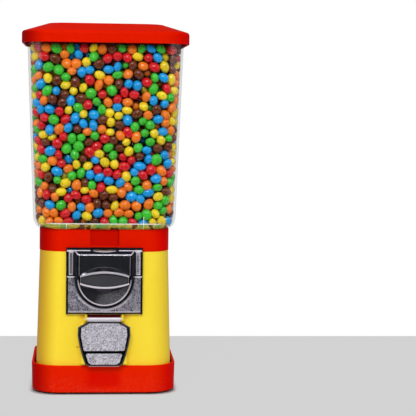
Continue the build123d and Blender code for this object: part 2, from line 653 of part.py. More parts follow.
with BuildPart() as mech_back_plate:
    with BuildSketch(facing(BACK_PLATE_FRONT_Y)):
        with Locations((0, (WINDOW_BOTTOM + WINDOW_TOP) / 2)):
            width = 2 * (WINDOW_HALF_WIDTH - BACK_PLATE_MARGIN)
            height = WINDOW_TOP - WINDOW_BOTTOM - 2 * BACK_PLATE_MARGIN
            RectangleRounded(width, height, BACK_PLATE_CORNER)
        with Locations((0, AXIS_Z)):
            Circle(SHAFT_RADIUS + RUNNING_FIT, mode=Mode.SUBTRACT)
        with Locations((0, COIN_EXIT_Z)):
            RectangleRounded(*COIN_EXIT_SIZE, mode=Mode.SUBTRACT)
        with Locations((0, SCREW_CENTRE_Z)):
            with GridLocations(MECH_SCREW_X, MECH_SCREW_Z, 2, 2):
                Circle(BLIND_RADIUS, mode=Mode.SUBTRACT)
    extrude(amount=-(BACK_PLATE_BACK_Y - BACK_PLATE_FRONT_Y))
finish(mech_back_plate, "mech_back_plate")

# Four clamp tabs, which the screws draw against the inside of the body's wall
CLAMP_FRONT_Y = -73.2
CLAMP_BACK_Y = -71.2
CLAMP_X = 39.0
MECH_SCREW_RADIUS = 1.85
CLAMP_SIZE = (14.0, 7.0)
MECH_SCREW_LENGTH = 9.6
MECH_SCREW_HEAD_RADIUS = 3.4
MECH_SCREW_HEAD = 2.2

with BuildPart() as mech_clamps:
    with BuildSketch(facing(CLAMP_BACK_Y)):
        for side in (-1, 1):
            for rise in (-MECH_SCREW_Z / 2, MECH_SCREW_Z / 2):
                with Locations((side * CLAMP_X, SCREW_CENTRE_Z + rise)):
                    Rectangle(*CLAMP_SIZE)
        with Locations((0, SCREW_CENTRE_Z)):
            with GridLocations(MECH_SCREW_X, MECH_SCREW_Z, 2, 2):
                Circle(BLIND_RADIUS, mode=Mode.SUBTRACT)
    extrude(amount=CLAMP_BACK_Y - CLAMP_FRONT_Y)
finish(mech_clamps, "mech_clamps")

with BuildPart() as mech_screws:
    with BuildSketch(facing(CLAMP_BACK_Y)):
        with Locations((0, SCREW_CENTRE_Z)):
            with GridLocations(MECH_SCREW_X, MECH_SCREW_Z, 2, 2):
                Circle(MECH_SCREW_HEAD_RADIUS)
    extrude(amount=-MECH_SCREW_HEAD)
    with BuildSketch(facing(CLAMP_BACK_Y + 0.1)):
        with Locations((0, SCREW_CENTRE_Z)):
            with GridLocations(MECH_SCREW_X, MECH_SCREW_Z, 2, 2):
                Circle(MECH_SCREW_RADIUS)
    extrude(amount=MECH_SCREW_LENGTH)
finish(mech_screws, "mech_screws")

# Ratchet on the shaft, with the pawl lifted just clear of its teeth
RATCHET_TEETH = 12
RATCHET_TIP = 17.0
RATCHET_ROOT = 14.0
RATCHET_UNDERCUT = 2.0
RATCHET_THICKNESS = 2.4
RATCHET_FRONT_Y = BACK_PLATE_BACK_Y + 0.6
RATCHET_BACK_Y = RATCHET_FRONT_Y + RATCHET_THICKNESS

ratchet_points = []
for tooth in range(RATCHET_TEETH):
    tip_angle = math.radians(360 / RATCHET_TEETH * tooth)
    root_angle = tip_angle + math.radians(RATCHET_UNDERCUT)
    ratchet_points.append((RATCHET_TIP * math.sin(tip_angle), AXIS_Z + RATCHET_TIP * math.cos(tip_angle)))
    ratchet_points.append((RATCHET_ROOT * math.sin(root_angle), AXIS_Z + RATCHET_ROOT * math.cos(root_angle)))

with BuildPart() as ratchet_wheel:
    with BuildSketch(facing(RATCHET_BACK_Y)):
        with BuildLine():
            Polyline(*ratchet_points, close=True)
        make_face()
        with Locations((0, AXIS_Z)):
            Circle(SHAFT_RADIUS, mode=Mode.SUBTRACT)
    extrude(amount=RATCHET_BACK_Y - RATCHET_FRONT_Y)
finish(ratchet_wheel, "ratchet_wheel")

PAWL_PIVOT = (27.0, AXIS_Z + 8.4)
PAWL_NOSE = (17.1, AXIS_Z + 3.6)
PAWL_BOSS_RADIUS = 4.0
PAWL_PIN_RADIUS = 1.5
PAWL_PIN_HEAD_RADIUS = 2.6
PAWL_PIN_LENGTH = 4.4
PAWL_PIN_HEAD = 1.0
PAWL_HEAD_GAP = 0.4

with BuildPart() as ratchet_pawl:
    with BuildSketch(facing(RATCHET_BACK_Y)):
        with Locations(PAWL_PIVOT):
            Circle(PAWL_BOSS_RADIUS)
        with BuildLine():
            Polyline(
                PAWL_NOSE,
                (PAWL_NOSE[0] + 3.0, PAWL_NOSE[1] - 1.2),
                (PAWL_PIVOT[0] + 2.6, PAWL_PIVOT[1] - 3.0),
                (PAWL_PIVOT[0] - 3.0, PAWL_PIVOT[1] + 2.6),
                close=True,
            )
        make_face()
        with Locations(PAWL_PIVOT):
            Circle(PAWL_PIN_RADIUS + RUNNING_FIT, mode=Mode.SUBTRACT)
    extrude(amount=RATCHET_BACK_Y - RATCHET_FRONT_Y)
finish(ratchet_pawl, "ratchet_pawl")

with BuildPart() as pawl_pin:
    with BuildSketch(facing(BACK_PLATE_BACK_Y)):
        with Locations(PAWL_PIVOT):
            Circle(PAWL_PIN_RADIUS)
    extrude(amount=-PAWL_PIN_LENGTH)
    with BuildSketch(facing(RATCHET_BACK_Y + PAWL_HEAD_GAP)):
        with Locations(PAWL_PIVOT):
            Circle(PAWL_PIN_HEAD_RADIUS)
    extrude(amount=-PAWL_PIN_HEAD)
finish(pawl_pin, "pawl_pin")

# Leaf spring that presses on the pawl's back, on a small foot
SPRING_X = 36.0
SPRING_FOOT = AXIS_Z - 8.6
SPRING_TOP = AXIS_Z + 13.4

with BuildPart() as pawl_spring:
    with BuildSketch(facing(RATCHET_BACK_Y - 0.3)):
        with BuildLine():
            Polyline(
                (SPRING_X, SPRING_FOOT),
                (SPRING_X, SPRING_FOOT + 14.0),
                (SPRING_X - 4.4, SPRING_TOP),
                (SPRING_X - 13.6, SPRING_TOP),
                (SPRING_X - 13.6, SPRING_TOP - 0.6),
                (SPRING_X - 4.7, SPRING_TOP - 0.6),
                (SPRING_X - 0.6, SPRING_FOOT + 13.9),
                (SPRING_X - 0.6, SPRING_FOOT),
                close=True,
            )
        make_face()
    extrude(amount=1.8)
    with BuildSketch(facing(BACK_PLATE_BACK_Y)):
        with Locations((SPRING_X - 0.3, SPRING_FOOT + 1.5)):
            Rectangle(2.6, 3)
    extrude(amount=-1.2)
finish(pawl_spring, "pawl_spring")

# Drive gear: eight blunt teeth that push the wheel's pegs along
GEAR_PITCH = PEG_CIRCLE * GEAR_TEETH / PEG_COUNT
GEAR_TIP = GEAR_PITCH + 1.9
GEAR_ROOT = 8.6
TOOTH_FOOT = 7.0
TOOTH_FOOT_HALF_WIDTH = 2.4
TOOTH_TIP_HALF_WIDTH = 1.5
CLIP_WALL = 2.4
CLIP_THICKNESS = 1.4
CLIP_BACK_Y = -PEG_CIRCLE + 4.6
GEAR_HALF_WIDTH = 3.0

with BuildPart() as drive_gear:
    with BuildSketch(facing(-PEG_CIRCLE + GEAR_HALF_WIDTH)):
        with Locations((0, AXIS_Z)):
            Circle(GEAR_ROOT)
        for tooth in range(GEAR_TEETH):
            turn = math.radians(360 / GEAR_TEETH * tooth)
            side_points = []
            for across, out in (
                (-TOOTH_FOOT_HALF_WIDTH, TOOTH_FOOT),
                (-TOOTH_TIP_HALF_WIDTH, GEAR_TIP),
                (TOOTH_TIP_HALF_WIDTH, GEAR_TIP),
                (TOOTH_FOOT_HALF_WIDTH, TOOTH_FOOT),
            ):
                side_points.append(
                    (
                        across * math.cos(turn) + out * math.sin(turn),
                        AXIS_Z - across * math.sin(turn) + out * math.cos(turn),
                    )
                )
            with BuildLine():
                Polyline(*side_points, close=True)
            make_face()
        with Locations((0, AXIS_Z)):
            Circle(SHAFT_RADIUS, mode=Mode.SUBTRACT)
    extrude(amount=2 * GEAR_HALF_WIDTH)
finish(drive_gear, "drive_gear")

with BuildPart() as shaft_clip:
    with BuildSketch(facing(CLIP_BACK_Y)):
        with Locations((0, AXIS_Z)):
            Circle(SHAFT_RADIUS + CLIP_WALL)
            Circle(SHAFT_RADIUS, mode=Mode.SUBTRACT)
    extrude(amount=CLIP_THICKNESS)
finish(shaft_clip, "shaft_clip")

# Hopper: the fixed bowl in which the dispensing wheel turns
TROUGH_WALL = 2.0
FLANGE_RADIUS = 71.0
GEAR_WINDOW = (36.0, 10.4)
GEAR_WINDOW_HEIGHT = 8.0

with BuildPart() as hopper:
    with BuildSketch(Plane.XZ):
        with BuildLine():
            Polyline(
                (ROD_RADIUS + ROD_CLEARANCE, HOPPER_FLOOR_TOP - HOPPER_FLOOR),
                (TROUGH_INNER - TROUGH_WALL, HOPPER_FLOOR_TOP - HOPPER_FLOOR),
                (TROUGH_INNER - TROUGH_WALL, TROUGH_TOP - TROUGH_WALL),
                (HOPPER_RADIUS, TROUGH_TOP - TROUGH_WALL),
                (HOPPER_RADIUS, BODY_TOP),
                (FLANGE_RADIUS, BODY_TOP),
                (FLANGE_RADIUS, BODY_TOP + TROUGH_WALL),
                (HOPPER_RADIUS, BODY_TOP + TROUGH_WALL),
                (HOPPER_RADIUS, HOPPER_TOP),
                (HOPPER_RADIUS - HOPPER_WALL, HOPPER_TOP),
                (HOPPER_RADIUS - HOPPER_WALL, TROUGH_TOP),
                (TROUGH_INNER, TROUGH_TOP),
                (TROUGH_INNER, HOPPER_FLOOR_TOP),
                (ROD_RADIUS + ROD_CLEARANCE, HOPPER_FLOOR_TOP),
                close=True,
            )
        make_face()
    revolve(axis=Axis.Z)
    with BuildSketch(Plane.XY.offset(HOPPER_FLOOR_TOP - HOPPER_FLOOR)):
        with Locations((0, -POCKET_CIRCLE)):
            Circle(OUTLET_RADIUS)
    extrude(amount=HOPPER_FLOOR, mode=Mode.SUBTRACT)
    # Window through which the drive gear reaches the pegs
    with BuildSketch(Plane.XY.offset(TROUGH_TOP - TROUGH_WALL)):
        with Locations((0, -PEG_CIRCLE)):
            Rectangle(*GEAR_WINDOW)
    extrude(amount=GEAR_WINDOW_HEIGHT, mode=Mode.SUBTRACT)
finish(hopper, "hopper")

# Candy wheel: a thick disc with five through pockets
with BuildPart() as candy_wheel:
    with BuildSketch(Plane.XY.offset(WHEEL_BOTTOM)):
        Circle(WHEEL_RADIUS)
        Circle(HUB_RADIUS + RUNNING_FIT, mode=Mode.SUBTRACT)
        with PolarLocations(POCKET_CIRCLE, POCKET_COUNT, start_angle=-90):
            Circle(POCKET_RADIUS, mode=Mode.SUBTRACT)
    extrude(amount=WHEEL_TOP - WHEEL_BOTTOM)
finish(candy_wheel, "candy_wheel")

# Hub tube on the wheel, which carries the agitator
with BuildPart() as wheel_hub:
    with BuildSketch(Plane.XY.offset(WHEEL_TOP)):
        Circle(HUB_TUBE_RADIUS)
        Circle(HUB_RADIUS + RUNNING_FIT, mode=Mode.SUBTRACT)
    extrude(amount=HUB_TUBE_HEIGHT)
finish(wheel_hub, "wheel_hub")

# Ring of drive pegs, fixed in the wheel's underside
with BuildPart() as wheel_pegs:
    with BuildSketch(Plane.XY.offset(WHEEL_BOTTOM)):
        with PolarLocations(PEG_CIRCLE, PEG_COUNT, start_angle=-90 + 180 / PEG_COUNT):
            Circle(PEG_RADIUS)
    extrude(amount=-PEG_LENGTH)
finish(wheel_pegs, "wheel_pegs")

BUSHING_TOP = WHEEL_TOP + HUB_TUBE_HEIGHT + 0.4

with BuildPart() as wheel_bushing:
    with BuildSketch(Plane.XY.offset(HOPPER_FLOOR_TOP)):
        Circle(HUB_RADIUS)
        Circle(ROD_RADIUS + ROD_CLEARANCE, mode=Mode.SUBTRACT)
    extrude(amount=BUSHING_TOP - HOPPER_FLOOR_TOP)
finish(wheel_bushing, "wheel_bushing")

# Cover over the outlet, so that only the pocket's own charge can fall. Two hooks hang it on
# the hopper's rim.
COVER_BOTTOM = WHEEL_TOP + 2.4
COVER_THICKNESS = 1.8
COVER_HALF_ANGLE = 36.0
COVER_INNER = 15.0
HOOK_X = 17.0
HOOK_WIDTH = 6.0
HOOK_INNER_Y = -57.5
HOOK_WALL_Y = -62.0
HOOK_OUTER_Y = -66.6
HOOK_THICKNESS = 2.0
BRUSH_PLACE = (19.5, -32.0)
BRUSH_TURN = 32.0
BRUSH_SIZE = (4.0, 34.0)
BRUSH_LIFT = 0.4

with BuildPart() as brush_housing:
    with BuildSketch(Plane.XY.offset(COVER_BOTTOM)):
        reach = HOPPER_RADIUS - HOPPER_WALL
        across = math.sin(math.radians(COVER_HALF_ANGLE))
        along = math.cos(math.radians(COVER_HALF_ANGLE))
        with BuildLine():
            ThreePointArc((-reach * across, -reach * along), (0, -reach), (reach * across, -reach * along))
            Line((reach * across, -reach * along), (COVER_INNER * across, -COVER_INNER * along))
            ThreePointArc(
                (COVER_INNER * across, -COVER_INNER * along),
                (0, -COVER_INNER),
                (-COVER_INNER * across, -COVER_INNER * along),
            )
            Line((-COVER_INNER * across, -COVER_INNER * along), (-reach * across, -reach * along))
        make_face()
    extrude(amount=COVER_THICKNESS)
    with BuildSketch(Plane.XY.offset(COVER_BOTTOM)):
        with Locations((0, (HOOK_INNER_Y + HOOK_WALL_Y) / 2)):
            with GridLocations(2 * HOOK_X, 1, 2, 1):
                Rectangle(HOOK_WIDTH, HOOK_INNER_Y - HOOK_WALL_Y)
    extrude(amount=HOPPER_TOP + HOOK_THICKNESS - COVER_BOTTOM)
    with BuildSketch(Plane.XY.offset(HOPPER_TOP)):
        with Locations((0, (HOOK_INNER_Y + HOOK_OUTER_Y) / 2)):
            with GridLocations(2 * HOOK_X, 1, 2, 1):
                Rectangle(HOOK_WIDTH, HOOK_INNER_Y - HOOK_OUTER_Y)
    extrude(amount=HOOK_THICKNESS)
finish(brush_housing, "brush_housing")

with BuildPart() as brush:
    with BuildSketch(Plane.XY.offset(WHEEL_TOP + BRUSH_LIFT)):
        for side in (-1, 1):
            with Locations(Location((side * BRUSH_PLACE[0], BRUSH_PLACE[1], 0), -side * BRUSH_TURN)):
                Rectangle(*BRUSH_SIZE)
    extrude(amount=COVER_BOTTOM - WHEEL_TOP - BRUSH_LIFT)
finish(brush, "brush")

HEX_RADIUS = 7.4
HUB_NUT_HEIGHT = 5.0

with BuildPart() as hub_nut:
    with BuildSketch(Plane.XY.offset(BUSHING_TOP)):
        RegularPolygon(HEX_RADIUS, 6)
        Circle(ROD_RADIUS, mode=Mode.SUBTRACT)
    extrude(amount=HUB_NUT_HEIGHT)
finish(hub_nut, "hub_nut")

# Agitator: a clamp ring on the hub tube with two bent arms that keep the candies loose
WIRE_RADIUS = 1.4
AGITATOR_REACH = 48.0
AGITATOR_RING = 16.0
AGITATOR_GAP = 0.5
AGITATOR_BOTTOM = COVER_BOTTOM + COVER_THICKNESS + AGITATOR_GAP
AGITATOR_TOP = WHEEL_TOP + HUB_TUBE_HEIGHT
PRONG_TOP = WHEEL_TOP + 17.0

with BuildPart() as agitator:
    with BuildSketch(Plane.XY.offset(AGITATOR_BOTTOM)):
        Circle(AGITATOR_RING)
    extrude(amount=AGITATOR_TOP - AGITATOR_BOTTOM)
    with BuildSketch(Plane.YZ.offset(-AGITATOR_REACH)):
        with Locations((0, (AGITATOR_BOTTOM + AGITATOR_TOP) / 2)):
            Circle(WIRE_RADIUS)
    extrude(amount=2 * AGITATOR_REACH)
    with BuildSketch(Plane.XY.offset((AGITATOR_BOTTOM + AGITATOR_TOP) / 2 - WIRE_RADIUS)):
        with GridLocations(2 * AGITATOR_REACH, 1, 2, 1):
            Circle(WIRE_RADIUS)
    extrude(amount=PRONG_TOP - (AGITATOR_BOTTOM + AGITATOR_TOP) / 2 + WIRE_RADIUS)
    with BuildSketch(Plane.XY.offset(AGITATOR_BOTTOM)):
        Circle(HUB_TUBE_RADIUS)
    extrude(amount=AGITATOR_TOP - AGITATOR_BOTTOM, mode=Mode.SUBTRACT)
finish(agitator, "agitator")

# Top collar: the square ring on which the globe stands, with a finger recess at the front
COLLAR_INNER_RADIUS = 72.0
RECESS_HALF_WIDTH = 16.5
RECESS_BOTTOM = COLLAR_TOP - 17.4
RECESS_DEPTH = 1.6
RECESS_MARGIN = 0.6
COLLAR_TOP_FILLET = 1.2
COLLAR_FOOT_FILLET = 0.6
COLLAR_SCREW_LENGTH = 12.0
COLLAR_SCREW_HEAD_RADIUS = 3.6
COLLAR_SCREW_HEAD = 2.4
THREAD_PLAY = 0.05

with BuildPart() as top_collar:
    with BuildSketch(Plane.XY.offset(BODY_TOP)):
        RectangleRounded(COLLAR_WIDTH, COLLAR_WIDTH, COLLAR_RADIUS)
    extrude(amount=COLLAR_TOP - BODY_TOP)
    fillet(top_collar.edges().group_by(Axis.Z)[-1], COLLAR_TOP_FILLET)
    fillet(top_collar.edges().group_by(Axis.Z)[0], COLLAR_FOOT_FILLET)
    with BuildSketch(Plane.XY.offset(BODY_TOP)):
        Circle(COLLAR_INNER_RADIUS)
    extrude(amount=COLLAR_TOP - BODY_TOP, mode=Mode.SUBTRACT)
    with BuildSketch(facing(-COLLAR_WIDTH / 2)):
        with Locations((0, (RECESS_BOTTOM + COLLAR_TOP) / 2)):
            Rectangle(2 * RECESS_HALF_WIDTH, COLLAR_TOP - RECESS_BOTTOM - RECESS_MARGIN)
    extrude(amount=-RECESS_DEPTH, mode=Mode.SUBTRACT)
    with BuildSketch(Plane.XY.offset(BODY_TOP)):
        with GridLocations(2 * COLLAR_SCREW_PLACE, 2 * COLLAR_SCREW_PLACE, 2, 2):
            Circle(COLLAR_SCREW_RADIUS + THREAD_PLAY)
    extrude(amount=COLLAR_SCREW_LENGTH, mode=Mode.SUBTRACT)
finish(top_collar, "top_collar")

with BuildPart() as collar_screws:
    with BuildSketch(Plane.XY.offset(BODY_TOP - DECK_THICKNESS)):
        with GridLocations(2 * COLLAR_SCREW_PLACE, 2 * COLLAR_SCREW_PLACE, 2, 2):
            Circle(COLLAR_SCREW_RADIUS)
    extrude(amount=COLLAR_SCREW_LENGTH)
    with BuildSketch(Plane.XY.offset(BODY_TOP - DECK_THICKNESS)):
        with GridLocations(2 * COLLAR_SCREW_PLACE, 2 * COLLAR_SCREW_PLACE, 2, 2):
            Circle(COLLAR_SCREW_HEAD_RADIUS)
    extrude(amount=-COLLAR_SCREW_HEAD)
finish(collar_screws, "collar_screws")

# Globe: a clear tapered square jar, open above, with a round outlet in its floor
GLOBE_FLOOR = 3.0
GLOBE_OUTLET_RADIUS = 64.0
GLOBE_LOW_Z = 210.0

with BuildPart() as globe:
    with BuildSketch(Plane.XY.offset(COLLAR_TOP)):
        RectangleRounded(GLOBE_FOOT_WIDTH, GLOBE_FOOT_WIDTH, GLOBE_RADIUS)
    with BuildSketch(Plane.XY.offset(GLOBE_LOW_Z)):
        RectangleRounded(GLOBE_LOW_WIDTH, GLOBE_LOW_WIDTH, GLOBE_RADIUS)
    loft(ruled=True)
    with BuildSketch(Plane.XY.offset(GLOBE_LOW_Z)):
        RectangleRounded(GLOBE_LOW_WIDTH, GLOBE_LOW_WIDTH, GLOBE_RADIUS)
    with BuildSketch(Plane.XY.offset(GLOBE_TOP)):
        RectangleRounded(GLOBE_TOP_WIDTH, GLOBE_TOP_WIDTH, GLOBE_RADIUS)
    loft(ruled=True)
    with BuildSketch(Plane.XY.offset(COLLAR_TOP + GLOBE_FLOOR)):
        inner = GLOBE_FOOT_WIDTH + 1 - 2 * GLOBE_WALL
        RectangleRounded(inner, inner, GLOBE_RADIUS - GLOBE_WALL)
    with BuildSketch(Plane.XY.offset(GLOBE_LOW_Z)):
        inner = GLOBE_LOW_WIDTH - 2 * GLOBE_WALL
        RectangleRounded(inner, inner, GLOBE_RADIUS - GLOBE_WALL)
    loft(ruled=True, mode=Mode.SUBTRACT)
    with BuildSketch(Plane.XY.offset(GLOBE_LOW_Z)):
        inner = GLOBE_LOW_WIDTH - 2 * GLOBE_WALL
        RectangleRounded(inner, inner, GLOBE_RADIUS - GLOBE_WALL)
    with BuildSketch(Plane.XY.offset(GLOBE_TOP)):
        inner = GLOBE_TOP_WIDTH - 2 * GLOBE_WALL
        RectangleRounded(inner, inner, GLOBE_RADIUS - GLOBE_WALL)
    loft(ruled=True, mode=Mode.SUBTRACT)
    with BuildSketch(Plane.XY.offset(COLLAR_TOP)):
        Circle(GLOBE_OUTLET_RADIUS)
    extrude(amount=GLOBE_FLOOR, mode=Mode.SUBTRACT)
finish(globe, "globe")

# Candies: one closed solid that fills the globe a little inside its walls
FILL_BOTTOM = COLLAR_TOP + GLOBE_FLOOR + 1.2
FILL_TOP = 410.0
FILL_GAP = 0.8
ROD_GAP = 0.5


def fill_width(height):
    """Width of the candies' block at a height, a little less than the globe's inside."""
    share = (height - GLOBE_LOW_Z) / (GLOBE_TOP - GLOBE_LOW_Z)
    outer = GLOBE_LOW_WIDTH + share * (GLOBE_TOP_WIDTH - GLOBE_LOW_WIDTH)
    return outer - 2 * (GLOBE_WALL + FILL_GAP)


with BuildPart() as candy_fill:
    with BuildSketch(Plane.XY.offset(FILL_BOTTOM)):
        inner = GLOBE_FOOT_WIDTH - 2 * (GLOBE_WALL + FILL_GAP)
        RectangleRounded(inner, inner, GLOBE_RADIUS - GLOBE_WALL - FILL_GAP)
    with BuildSketch(Plane.XY.offset(GLOBE_LOW_Z)):
        inner = fill_width(GLOBE_LOW_Z)
        RectangleRounded(inner, inner, GLOBE_RADIUS - GLOBE_WALL - FILL_GAP)
    loft(ruled=True)
    with BuildSketch(Plane.XY.offset(GLOBE_LOW_Z)):
        inner = fill_width(GLOBE_LOW_Z)
        RectangleRounded(inner, inner, GLOBE_RADIUS - GLOBE_WALL - FILL_GAP)
    with BuildSketch(Plane.XY.offset(FILL_TOP)):
        inner = fill_width(FILL_TOP)
        RectangleRounded(inner, inner, GLOBE_RADIUS - GLOBE_WALL - FILL_GAP)
    loft(ruled=True)
    with BuildSketch(Plane.XY.offset(FILL_BOTTOM)):
        Circle(ROD_RADIUS + ROD_GAP)
    extrude(amount=FILL_TOP - FILL_BOTTOM, mode=Mode.SUBTRACT)
finish(candy_fill, "candy_fill")

# Centre rod, its nuts and its washer: it ties the base, the body and the hopper together
ROD_CHAMFER = 0.8

with BuildPart() as centre_rod:
    with BuildSketch(Plane.XY.offset(ROD_BOTTOM)):
        Circle(ROD_RADIUS)
    extrude(amount=ROD_TOP - ROD_BOTTOM)
    chamfer(centre_rod.edges().group_by(Axis.Z)[-1], ROD_CHAMFER)
finish(centre_rod, "centre_rod")

NUT_HEIGHT = 4.6
LOW_NUT_HEIGHT = 2.8
WASHER_THICKNESS = 1.6
WASHER_RADIUS = 11.0

with BuildPart() as rod_nuts:
    with BuildSketch(Plane.XY.offset(TRAY_FLOOR_TOP + WASHER_THICKNESS)):
        RegularPolygon(HEX_RADIUS, 6)
        Circle(ROD_RADIUS, mode=Mode.SUBTRACT)
    extrude(amount=NUT_HEIGHT)
    with BuildSketch(Plane.XY.offset(HOPPER_FLOOR_TOP - HOPPER_FLOOR)):
        RegularPolygon(HEX_RADIUS, 6)
        Circle(ROD_RADIUS, mode=Mode.SUBTRACT)
    extrude(amount=-NUT_HEIGHT)
    with BuildSketch(Plane.XY.offset(TRAY_FLOOR_BOTTOM)):
        RegularPolygon(HEX_RADIUS, 6)
        Circle(ROD_RADIUS, mode=Mode.SUBTRACT)
    extrude(amount=-LOW_NUT_HEIGHT)
finish(rod_nuts, "rod_nuts")

with BuildPart() as rod_washer:
    with BuildSketch(Plane.XY.offset(TRAY_FLOOR_TOP)):
        Circle(WASHER_RADIUS)
        Circle(ROD_RADIUS, mode=Mode.SUBTRACT)
    extrude(amount=WASHER_THICKNESS)
finish(rod_washer, "rod_washer")

# Lid: a square cap with a deep skirt, a sloped roof and a well for the lock
WELL_RADIUS = 16.0
WELL_FLOOR = 425.4
WELL_WALL = 2.4
LOCK_BORE = 11.0
RIM_WIDTH = 176.4
RIM_BOTTOM = 412.9
RIM_WALL = 1.8
RIM_RADIUS = 25.0
RIM_ROOT = 2.0
SEAT_GAP = 0.4
ROOF_WALL = 2.4
ROOF_RADIUS = 21.0
EAVES_STEPS = 4
PLATEAU_FILLET = 1.2
PLATEAU_RADIUS = 23.0

with BuildPart() as lid:
    with BuildSketch(Plane.XY.offset(LID_SKIRT_BOTTOM)):
        RectangleRounded(LID_WIDTH, LID_WIDTH, LID_RADIUS)
    extrude(amount=LID_SKIRT_TOP - LID_SKIRT_BOTTOM)
    # Eaves that round over from the skirt, then the sloped roof
    eaves_rise = LID_EAVES - LID_SKIRT_TOP
    eaves_inset = (LID_WIDTH - LID_EAVES_WIDTH) / 2
    roof = [(LID_SKIRT_TOP, 0)]
    for step in range(1, EAVES_STEPS + 1):
        turn = math.radians(90 * step / EAVES_STEPS)
        roof.append((LID_SKIRT_TOP + eaves_rise * math.sin(turn), eaves_inset * (1 - math.cos(turn))))
    for height, inset in roof:
        with BuildSketch(Plane.XY.offset(height)):
            RectangleRounded(LID_WIDTH - 2 * inset, LID_WIDTH - 2 * inset, LID_RADIUS - inset)
    with BuildSketch(Plane.XY.offset(LID_TOP)):
        RectangleRounded(LID_PLATEAU_WIDTH, LID_PLATEAU_WIDTH, PLATEAU_RADIUS)
    loft(ruled=True)
    fillet(lid.edges().group_by(Axis.Z)[-1], PLATEAU_FILLET)
    # Hollow below
    with BuildSketch(Plane.XY.offset(LID_SKIRT_BOTTOM)):
        inner = LID_WIDTH - 2 * LID_WALL
        RectangleRounded(inner, inner, LID_RADIUS - LID_WALL)
    extrude(amount=GLOBE_TOP + SEAT_GAP - LID_SKIRT_BOTTOM, mode=Mode.SUBTRACT)
    with BuildSketch(Plane.XY.offset(GLOBE_TOP + SEAT_GAP)):
        RectangleRounded(RIM_WIDTH, RIM_WIDTH, RIM_RADIUS)
    with BuildSketch(Plane.XY.offset(LID_TOP - ROOF_WALL)):
        inner = LID_PLATEAU_WIDTH - RIM_ROOT
        RectangleRounded(inner, inner, ROOF_RADIUS)
    loft(ruled=True, mode=Mode.SUBTRACT)
    # Rim that centres the lid in the globe's mouth
    with BuildSketch(Plane.XY.offset(RIM_BOTTOM)):
        RectangleRounded(RIM_WIDTH, RIM_WIDTH, RIM_RADIUS)
        inner = RIM_WIDTH - 2 * RIM_WALL
        RectangleRounded(inner, inner, RIM_RADIUS - RIM_WALL, mode=Mode.SUBTRACT)
    extrude(amount=GLOBE_TOP + SEAT_GAP + RIM_ROOT - RIM_BOTTOM)
    # Well for the lock
    with BuildSketch(Plane.XY.offset(WELL_FLOOR - WELL_WALL)):
        Circle(WELL_RADIUS + WELL_WALL)
    extrude(amount=LID_TOP - OVERLAP - WELL_FLOOR + WELL_WALL)
    with BuildSketch(Plane.XY.offset(WELL_FLOOR)):
        Circle(WELL_RADIUS)
    extrude(amount=LID_TOP - WELL_FLOOR, mode=Mode.SUBTRACT)
    with BuildSketch(Plane.XY.offset(WELL_FLOOR)):
        Circle(LOCK_BORE)
    extrude(amount=-WELL_WALL - OVERLAP, mode=Mode.SUBTRACT)
finish(lid, "lid")

LOCK_BOTTOM = 414.0
LOCK_TOP = 431.4
LOCK_FIT = 0.05
LOCK_FLANGE = 3.0
LOCK_CHAMFER = 0.8
PLUG_RADIUS = 7.6
PLUG_INSET = 0.6
PLUG_OVERHANG = 0.4
KEYWAY_OUTER = 4.6
KEYWAY_INNER = 3.0
KEYWAY_DEPTH = 4.0
KEY_NOTCH = (1.6, 2.4)
KEY_NOTCH_PLACE = 5.2
SOCKET_PLAY = 0.3
SOCKET_END = 1.6
LOCK_NUT_RADIUS = 9.8
LOCK_NUT_HEIGHT = 2.6

with BuildPart() as lock_housing:
    with BuildSketch(Plane.XY.offset(LOCK_BOTTOM)):
        Circle(LOCK_BORE - LOCK_FIT)
    extrude(amount=LOCK_TOP - LOCK_BOTTOM)
    with BuildSketch(Plane.XY.offset(WELL_FLOOR)):
        Circle(LOCK_BORE + LOCK_FLANGE)
    extrude(amount=LOCK_TOP - WELL_FLOOR)
    chamfer(lock_housing.edges().group_by(Axis.Z)[-1], LOCK_CHAMFER)
    with BuildSketch(Plane.XY.offset(LOCK_BOTTOM)):
        Circle(PLUG_RADIUS + RUNNING_FIT)
    extrude(amount=LOCK_TOP - LOCK_BOTTOM, mode=Mode.SUBTRACT)
finish(lock_housing, "lock_housing")

with BuildPart() as lock_plug:
    with BuildSketch(Plane.XY.offset(LOCK_BOTTOM - PLUG_OVERHANG)):
        Circle(PLUG_RADIUS)
    extrude(amount=LOCK_TOP - PLUG_INSET - LOCK_BOTTOM + PLUG_OVERHANG)
    # Ring keyway with its notch
    with BuildSketch(Plane.XY.offset(LOCK_TOP - PLUG_INSET)):
        Circle(KEYWAY_OUTER)
        Circle(KEYWAY_INNER, mode=Mode.SUBTRACT)
        with Locations((0, KEY_NOTCH_PLACE)):
            Rectangle(*KEY_NOTCH)
    extrude(amount=-KEYWAY_DEPTH, mode=Mode.SUBTRACT)
    # Threaded socket that the rod's top end enters
    with BuildSketch(Plane.XY.offset(LOCK_BOTTOM - OVERLAP)):
        Circle(ROD_RADIUS + SOCKET_PLAY)
    extrude(amount=ROD_TOP + SOCKET_END - LOCK_BOTTOM, mode=Mode.SUBTRACT)
finish(lock_plug, "lock_plug")

with BuildPart() as lock_nut:
    with BuildSketch(Plane.XY.offset(LOCK_BOTTOM - PLUG_OVERHANG)):
        RegularPolygon(LOCK_NUT_RADIUS, 6)
        Circle(ROD_RADIUS + SOCKET_PLAY, mode=Mode.SUBTRACT)
    extrude(amount=-LOCK_NUT_HEIGHT)
finish(lock_nut, "lock_nut")
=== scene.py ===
import math

import bpy
import numpy as np
from mathutils import Matrix, Vector, kdtree


